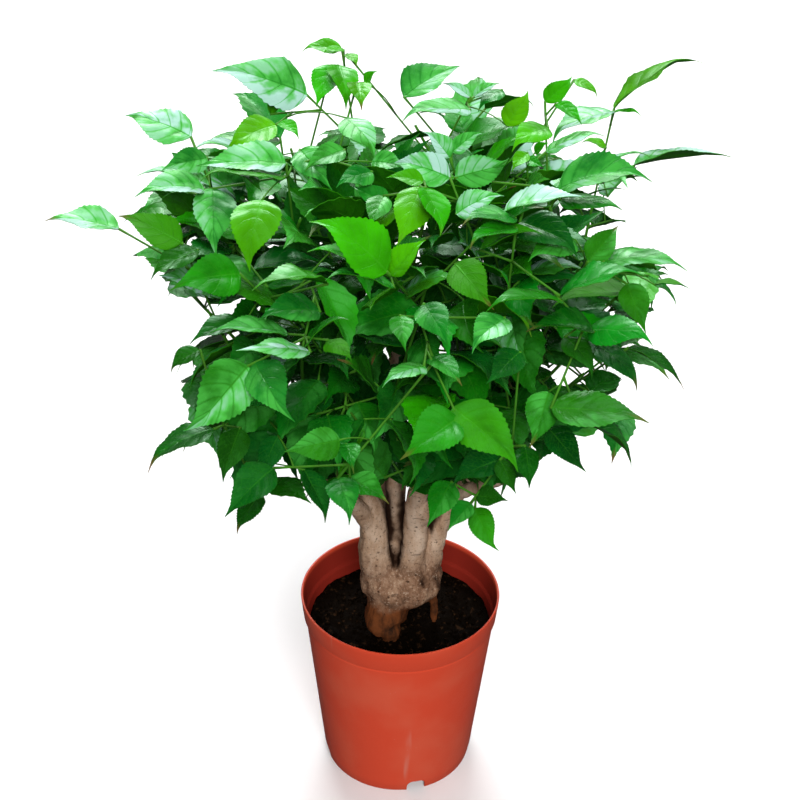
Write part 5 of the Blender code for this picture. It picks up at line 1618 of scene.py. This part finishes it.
def build_trunk(settings):
    """Limbs, knot and roots grown together, with lumps, warts and wrinkles."""
    bm = bmesh.new()
    for places in (*LIMBS.values(), *ROOTS.values()):
        points = smooth_path([p[:3] for p in places], FINE_LIMB_STEPS)
        radii = [s.x for s in smooth_path([(p[3], 0.0, 0.0) for p in places], FINE_LIMB_STEPS)]
        if places[-1][2] > places[0][2]:
            ahead = (points[-1] - points[-2]).normalized()
            points += [points[-1] + ahead * step for step in LIMB_END_STEPS]
            radii += [radii[-1] * LIMB_END_PART, STEM_RADIUS]
        add_tube(bm, points, radii, FINE_LIMB_SIDES)
    knot = bmesh.ops.create_icosphere(bm, subdivisions=4, radius=1.0)["verts"]
    for vertex in knot:
        swell = 1.0 + KNOT_SWELL * noise.noise(vertex.co * KNOT_SWELL_PITCH)
        vertex.co = Vector(vertex.co[i] * KNOT_REACH[i] * swell for i in range(3)) + KNOT_MIDDLE
    bmesh.ops.recalc_face_normals(bm, faces=bm.faces)
    voxels = {"mode": "VOXEL", "voxel_size": settings.grain, "adaptivity": 0.0}
    bm = shaped_by(bm, "grown together", "REMESH", **voxels)
    axes = {f"use_axis_{axis}": True for axis in "xyz"}
    for _ in range(EVEN_ROUNDS):
        bmesh.ops.smooth_vert(bm, verts=bm.verts, factor=0.5, **axes)
    bm.normal_update()
    moves = []
    for vertex in bm.verts:
        spot = vertex.co
        low = min(max((OLD_WOOD_TOP - spot.z) / OLD_WOOD_FADE, 0.0), 1.0)
        near_knot = max(0.0, 1.0 - (spot - KNOT_MIDDLE).length / KNOT_SPAN)
        patterns = (BARK_GRAIN, BARK_WRINKLES, BARK_ROUGH)
        grain, wrinkle, rough = (noise.noise(scaled(spot, pattern)) for pattern in patterns)
        wart = max(0.0, WART_SIZE - noise.voronoi(spot * WART_PITCH)[0][0]) * WART_HEIGHT
        rise = lumpiness(spot, BARK_LUMPS) * (0.50 + 0.50 * low) + GRAIN_HEIGHT * grain
        rise += (WRINKLE_HEIGHT * wrinkle + ROUGH_HEIGHT * rough) * low
        rise += wart * near_knot
        moves.append(settings.lump * rise)
    for vertex, rise in zip(bm.verts, moves):
        vertex.co += vertex.normal * rise
    bm.normal_update()
    # How hidden each spot is, kept for the painted shade of the bark's finish
    hidden_shade = bm.verts.layers.float_vector.new("hidden_shade")
    tree = BVHTree.FromBMesh(bm)
    dice = random.Random(SEED + 6)
    depths = [
        hollowness(tree, v.co, v.normal, dice) if v.co.z < HOLLOW_TOP else 0.0 for v in bm.verts
    ]
    bm.verts.index_update()
    around = [[e.other_vert(v).index for e in v.link_edges] for v in bm.verts]
    for vertex, depth in zip(bm.verts, evened(depths, around)):
        vertex[hidden_shade] = Vector((depth, 0.0, 0.0))
    smooth_all(bm)
    return finished(bm, "trunk_wood", [bark_finish(settings)], "trunk")


def leaf_tone(leaflet, dice):
    """How young a leaflet is, how much painted sheen it has, how dry its tip is, and whether it shows its
    underside; for the leaflets the view doesn't show, youth is partly painted shade and light.
    """
    number = leaflet.seed - SEEN_SEED
    if number < len(SEEN_LEAFLETS):
        seen = SEEN_LEAFLETS[number].tone
        young, sheen_paint = LEAF_TONES[seen]
        young += dice.uniform(-SEEN_YOUTH_CHANGE, SEEN_YOUTH_CHANGE)
        return Vector((young, sheen_paint, dice.random() ** DRY_TIP_POWER)), seen == "o"
    # Darker further in and brighter further out and at the top: partly real age, partly painted shade
    # inside the crown and painted light at the top
    way = crown_parts((leaflet.base + leaflet.tip) / 2 - CROWN_MIDDLE)
    outer = min(max((way.length - INNER_PART) / INNER_PART, 0.0), 1.0)
    top = max(way.z, 0.0)
    young = YOUTH_AND_PAINTED_LIGHT[0] + YOUTH_AND_PAINTED_LIGHT[1] * outer + YOUTH_AND_PAINTED_LIGHT[2] * top + dice.uniform(*YOUTH_CHANGE)
    if outer > FRESH_FROM and dice.random() < FRESH_CHANCE[0] + FRESH_CHANCE[1] * top:
        young = dice.uniform(*FRESH_YOUTH)
    # Heavy painted sheen, more likely further out and at the top
    heavy_sheen = outer > SHEEN_PAINT_FROM and dice.random() < SHEEN_PAINT_CHANCE[0] + SHEEN_PAINT_CHANCE[1] * top
    sheen_paint = dice.uniform(*(HEAVY_SHEEN_PAINT if heavy_sheen else LIGHT_SHEEN_PAINT))
    return Vector((young, sheen_paint, dice.random() ** DRY_TIP_POWER)), False


def add_fine_blade(bm, leaflet, settings, veined_rows, columns, teeth):
    """A toothed, quilted leaflet with a drawn-out tip, shaped from a grid and given its thickness."""
    place = bm.verts.layers.float_vector["place"]
    tone = bm.verts.layers.float_vector["tone"]
    along, across, face, size = blade_axes(leaflet)
    dice, arch, fold, wave, turn = blade_bends(leaflet, size)
    age_sheen_and_dryness, flipped = leaf_tone(leaflet, dice)
    half = leaflet.width / 2
    lean, curl, sweep, bulge, crease, ripple = [dice.uniform(*span) for span in FINE_VARIETY]
    rows = veined_rows + 2
    tooth_depth = settings.tooth * 2 * DEEP_TEETH / (teeth + DEEP_TEETH)
    quilting = settings.quilting if veined_rows > 4 * VEIN_PAIRS else 0.0
    grid = bmesh.ops.create_grid(bm, x_segments=columns, y_segments=rows, size=1.0)["verts"]
    for vertex in grid:
        u = vertex.co.x
        row = round((vertex.co.y + 1) / 2 * rows)
        if row <= veined_rows:
            t = row / veined_rows
            middle_part = ROWS_AT_MIDRIB[0] * t ** ROWS_AT_MIDRIB[1]
            edge_part = ROWS_AT_EDGE[0] * (1 - (1 - t) ** ROWS_AT_EDGE[1])
        else:
            t = 1.0 + TIP_STEP * (row - veined_rows)
            middle_part = edge_part = TIP_ROW if row < rows else 1.0
        bare = abs(u)
        along_part = middle_part + (edge_part - middle_part) * bare**ROW_BEND
        reach = lerp_table(FINE_OUTLINE, edge_part)
        if bare > 0.99 and 0 < row <= veined_rows:
            if row * 2 * teeth // veined_rows % 2:
                reach *= 1.0 - tooth_depth
            else:
                along_part += TOOTH_LEAN / teeth
        side = u * reach * (1.0 + lean * math.copysign(1.0, u))
        rise = arch * 4 * along_part * (1 - along_part) + (fold + crease) * abs(side) * half
        rise += wave * math.sin(turn + WAVE_PITCH * along_part + WAVE_SKEW * side) * abs(side)
        edge_wave = math.sin(RIPPLE_START * turn + RIPPLE_PITCH * along_part)
        rise += ripple * wave * edge_wave * side**2
        puff = -math.cos(math.tau * (VEIN_PAIRS * t - 0.5)) * (bare * (1 - bare) * 4) ** PUFF_FULLNESS
        taper = 1.0 if t <= 1.0 else 0.0
        sunk = MIDRIB_SINK * (bare < 0.01)
        rise += quilting * leaflet.width * (puff * PUFF_PART * reach - sunk) * taper
        rise += bulge * half * (bare - bare**2) * reach
        swell = noise.noise(scaled((u, t, leaflet.seed), UNDULATION_PITCH))
        rise += UNDULATION * leaflet.width * taper * swell
        beyond = max(along_part - TIP_START, 0.0) ** 2 - along_part * (1 - TIP_START) ** 2
        rise -= curl * size * beyond
        drift = sweep * size * beyond
        vertex.co = leaflet.base + along * along_part * size + across * (side * half + drift)
        vertex.co += face * (rise + settings.thickness / 2)
        vertex[place] = Vector((u, t, leaflet.seed * GOLDEN_PART % 1.0))
        vertex[tone] = age_sheen_and_dryness
    upper = list(dict.fromkeys(f for v in grid for f in v.link_faces))
    grown = bmesh.ops.extrude_face_region(bm, geom=upper)["geom"]
    under = [g for g in grown if isinstance(g, bmesh.types.BMVert)]
    lower = [g for g in grown if isinstance(g, bmesh.types.BMFace)]
    bmesh.ops.translate(bm, verts=under, vec=-face * settings.thickness)
    top, bottom = (2, 1) if flipped else (1, 2)
    low = set(under)
    for rim in {f for v in under for f in v.link_faces} - set(lower):
        rim.material_index = bottom
        for edge in rim.edges:
            edge.smooth = (edge.verts[0] in low) != (edge.verts[1] in low)
    for each in upper:
        each.material_index = top
    for each in lower:
        each.material_index = bottom


def nearest_on(path, point):
    """The place on a path nearest to a point, and how far it is."""
    best, gap = None, 1.0
    for a, b in zip(path, path[1:]):
        run = b - a
        spot = a + run * min(max((point - a).dot(run) / run.length_squared, 0.0), 1.0)
        if (spot - point).length < gap:
            best, gap = spot, (spot - point).length
    return best, gap


def build_leafy_stem(crown, shoot, settings, finishes):
    """One stem with its twigs, stalks and leaflets."""
    bm = bmesh.new()
    bm.verts.layers.float_vector.new("place")
    tone = bm.verts.layers.float_vector.new("tone")
    rough_path = crown.stems[shoot]
    into = (rough_path[0] - rough_path[1]).normalized() * STEM_SINK
    path = smooth_path([rough_path[0] + into, *rough_path], STEM_STEPS)
    (foot_size, thinning), (swell, swollen) = STEM_TAPER, STEM_COLLAR
    radii = []
    for k in range(len(path)):
        part = k / (len(path) - 1)
        collar = swell * STEM_RADIUS * max(0.0, 1.0 - k / swollen)
        radii.append(STEM_RADIUS * (foot_size - thinning * part) + collar)
    for k, ring in enumerate(add_tube(bm, path, radii, STEM_SIDES)):
        woody = max(0.0, 1.0 - WOODY_FADE * k / len(path))
        for vertex in ring:
            vertex[tone] = Vector((STEM_YOUTH, woody, 0.0))

    def on_stem(point):
        """Shift a point that lies on the straight stem to the smooth one."""
        if nearest_on(rough_path, point)[1] < ON_STEM:
            return nearest_on(path, point)[0]
        return point

    twigs = crown.twigs[shoot]
    leaflets = crown.leaflets[shoot]
    joints = [t.start for t in twigs] + [leaflet.base for leaflet in leaflets]
    dice = random.Random(SEED * 50 + shoot)
    for twig in twigs:
        start = on_stem(twig.start)
        run = twig.end - start
        borne = [j for j in joints if nearest_on([twig.start, twig.end], j)[1] < ON_TWIG]
        busy = len(borne) > 2
        farthest = max((j - twig.start).length for j in borne)
        run *= min(1.0, (farthest + TWIG_OVERLAP) / run.length)
        if run.length < SHORTEST_TWIG:
            continue
        sag = 0.0 if busy else dice.uniform(*TWIG_SAG) * run.length
        aside = [dice.uniform(-TWIG_LEAN, TWIG_LEAN) for _ in range(2)]
        lift = Vector((*aside, 1.0)) * sag
        steps = 2 if run.length < SHORT_TWIG else TWIG_STEPS
        parts = [k / steps for k in range(steps + 1)]
        points = [start + run * part + lift * 4 * part * (1 - part) for part in parts]
        radius = twig.radius * TWIG_PARTS[busy]
        sizes = [radius * (TWIG_SWELL if part in (0.0, 1.0) else 1.0) for part in parts]
        for ring in add_tube(bm, points, sizes, TWIG_SIDES):
            for vertex in ring:
                vertex[tone] = TWIG_TONE
    for leaflet in leaflets:
        leaflet = leaflet._replace(base=on_stem(leaflet.base))
        seen = leaflet.seed < SEEN_SEED + len(SEEN_LEAFLETS)
        add_fine_blade(bm, leaflet, settings, *(SEEN_BLADE if seen else FILLING_BLADE))
    bmesh.ops.recalc_face_normals(bm, faces=bm.faces)
    low, high = CAD_BOX
    for vertex in bm.verts:
        vertex.co = Vector(min(max(vertex.co[i], low[i]), high[i]) for i in range(3))
    smooth_all(bm)
    name = f"leafy_stem_{shoot + 1:02d}"
    return finished(bm, f"fine_{name}", finishes, name)


# The operators


class CHINADOLL_OT_pot(Operator):
    """Turn the moulded pot and cut the notches in its foot"""

    bl_idname = "china_doll.pot"
    bl_label = "Pot"

    def execute(self, context):
        build_pot(context.scene.china_doll_pot)
        return {"FINISHED"}


class CHINADOLL_OT_soil(Operator):
    """Fill the pot with lumpy soil"""

    bl_idname = "china_doll.soil"
    bl_label = "Soil"

    def execute(self, context):
        build_soil(context.scene.china_doll_soil)
        return {"FINISHED"}


class CHINADOLL_OT_trunk(Operator):
    """Grow limbs, knot and roots together into one old trunk"""

    bl_idname = "china_doll.trunk"
    bl_label = "Trunk"

    def execute(self, context):
        build_trunk(context.scene.china_doll_bark)
        return {"FINISHED"}


class CHINADOLL_OT_leafy_stems(Operator):
    """Grow the leafy stems with their stalks and leaflets"""

    bl_idname = "china_doll.leafy_stems"
    bl_label = "Leafy stems"

    def execute(self, context):
        settings = context.scene.china_doll_leaves
        crown = grown_crown(limb_paths(), settings.fill, settings.plugs)
        finishes = [stalk_finish(settings), leaf_finish(settings), underside_finish(settings)]
        for shoot in range(SHOOT_COUNT):
            build_leafy_stem(crown, shoot, settings, finishes)
        return {"FINISHED"}


class CHINADOLL_OT_studio(Operator):
    """Set up the pale floor, the soft light and the camera"""

    bl_idname = "china_doll.studio"
    bl_label = "Studio"

    def execute(self, context):
        settings = context.scene.china_doll_studio
        scene = context.scene
        bm = turned([(0.0, 0.0)] + [
            (FLOOR_RADIUS + FLOOR_SWEEP * math.sin(turn), FLOOR_SWEEP * (1 - math.cos(turn)))
            for turn in (math.pi / 2 * k / FLOOR_SWEEP_STEPS for k in range(FLOOR_SWEEP_STEPS + 1))
        ] + [(FLOOR_RADIUS + FLOOR_SWEEP, WALL_HEIGHT)], FLOOR_TURN_STEPS)
        bmesh.ops.reverse_faces(bm, faces=bm.faces)
        smooth_all(bm)
        floor = made_object(bm, "floor")
        floor.data.materials.append(floor_finish(settings))
        floor.visible_diffuse = False
        floor.visible_glossy = False
        # Each light's strength, the way round and up to it in degrees, how wide it is, and
        # whether it lights surfaces and whether it shows in their gloss
        lights = (
            ("back light", settings.back, 188.0, 48.0, 28.0, True, True),
            ("top light", settings.top, 20.0, 80.0, 34.0, True, False),
            ("front light", settings.front, 6.0, 35.0, 30.0, True, False),
            ("gloss panel", settings.gloss, 180.0, 48.0, 58.0, False, True),
        )
        for name, strength, around, above, spread, lit, glossy in lights:
            lamp = bpy.data.lights.new(name, "SUN")
            lamp.energy = strength
            lamp.angle = math.radians(spread)
            holder = bpy.data.objects.new(name, lamp)
            holder.rotation_euler = way_from(around, above).to_track_quat("Z", "Y").to_euler()
            holder.visible_diffuse = lit
            holder.visible_glossy = glossy
            scene.collection.objects.link(holder)
        world = bpy.data.worlds.new("even sky")
        world.use_nodes = True
        sky = world.node_tree.nodes["Background"]
        sky.inputs["Color"].default_value = (1.0, 1.0, 1.0, 1.0)
        sky.inputs["Strength"].default_value = settings.sky
        scene.world = world
        scene.view_settings.view_transform = "Standard"
        camera = bpy.data.cameras.new("camera")
        camera.sensor_width = VIEW_SENSOR
        camera.lens = VIEW_FOCAL * VIEW_SENSOR / VIEW_WIDTH
        holder = bpy.data.objects.new("camera", camera)
        holder.matrix_world = Matrix.Translation(VIEW_PLACE) @ view_turn().to_4x4()
        scene.collection.objects.link(holder)
        scene.camera = holder
        return {"FINISHED"}


GROUPS = {
    "china_doll_pot": (PotSettings, "china_doll.pot"),
    "china_doll_soil": (SoilSettings, "china_doll.soil"),
    "china_doll_bark": (BarkSettings, "china_doll.trunk"),
    "china_doll_leaves": (LeafSettings, "china_doll.leafy_stems"),
    "china_doll_studio": (StudioSettings, "china_doll.studio"),
}


class CHINADOLL_PT_plant(Panel):
    """Sizes, colours and a button for each group of pieces"""

    bl_idname = "CHINADOLL_PT_plant"
    bl_label = "Potted china doll plant"
    bl_space_type = "VIEW_3D"
    bl_region_type = "UI"
    bl_category = "China doll"

    def draw(self, context):
        for name, (group, operator) in GROUPS.items():
            box = self.layout.box()
            settings = getattr(context.scene, name)
            for key in group.__annotations__:
                box.prop(settings, key)
            box.operator(operator)


CLASSES = (
    PotSettings, SoilSettings, BarkSettings, LeafSettings, StudioSettings,
    CHINADOLL_OT_pot, CHINADOLL_OT_soil, CHINADOLL_OT_trunk, CHINADOLL_OT_leafy_stems,
    CHINADOLL_OT_studio, CHINADOLL_PT_plant,
)


def register():
    for each in CLASSES:
        bpy.utils.register_class(each)
    for name, (group, _) in GROUPS.items():
        setattr(bpy.types.Scene, name, PointerProperty(type=group))


def unregister():
    for name in GROUPS:
        delattr(bpy.types.Scene, name)
    for each in reversed(CLASSES):
        bpy.utils.unregister_class(each)


def main():
    register()
    bpy.ops.china_doll.studio()
    bpy.ops.china_doll.pot()
    bpy.ops.china_doll.soil()
    bpy.ops.china_doll.trunk()
    bpy.ops.china_doll.leafy_stems()


if __name__ == "__main__":
    main()
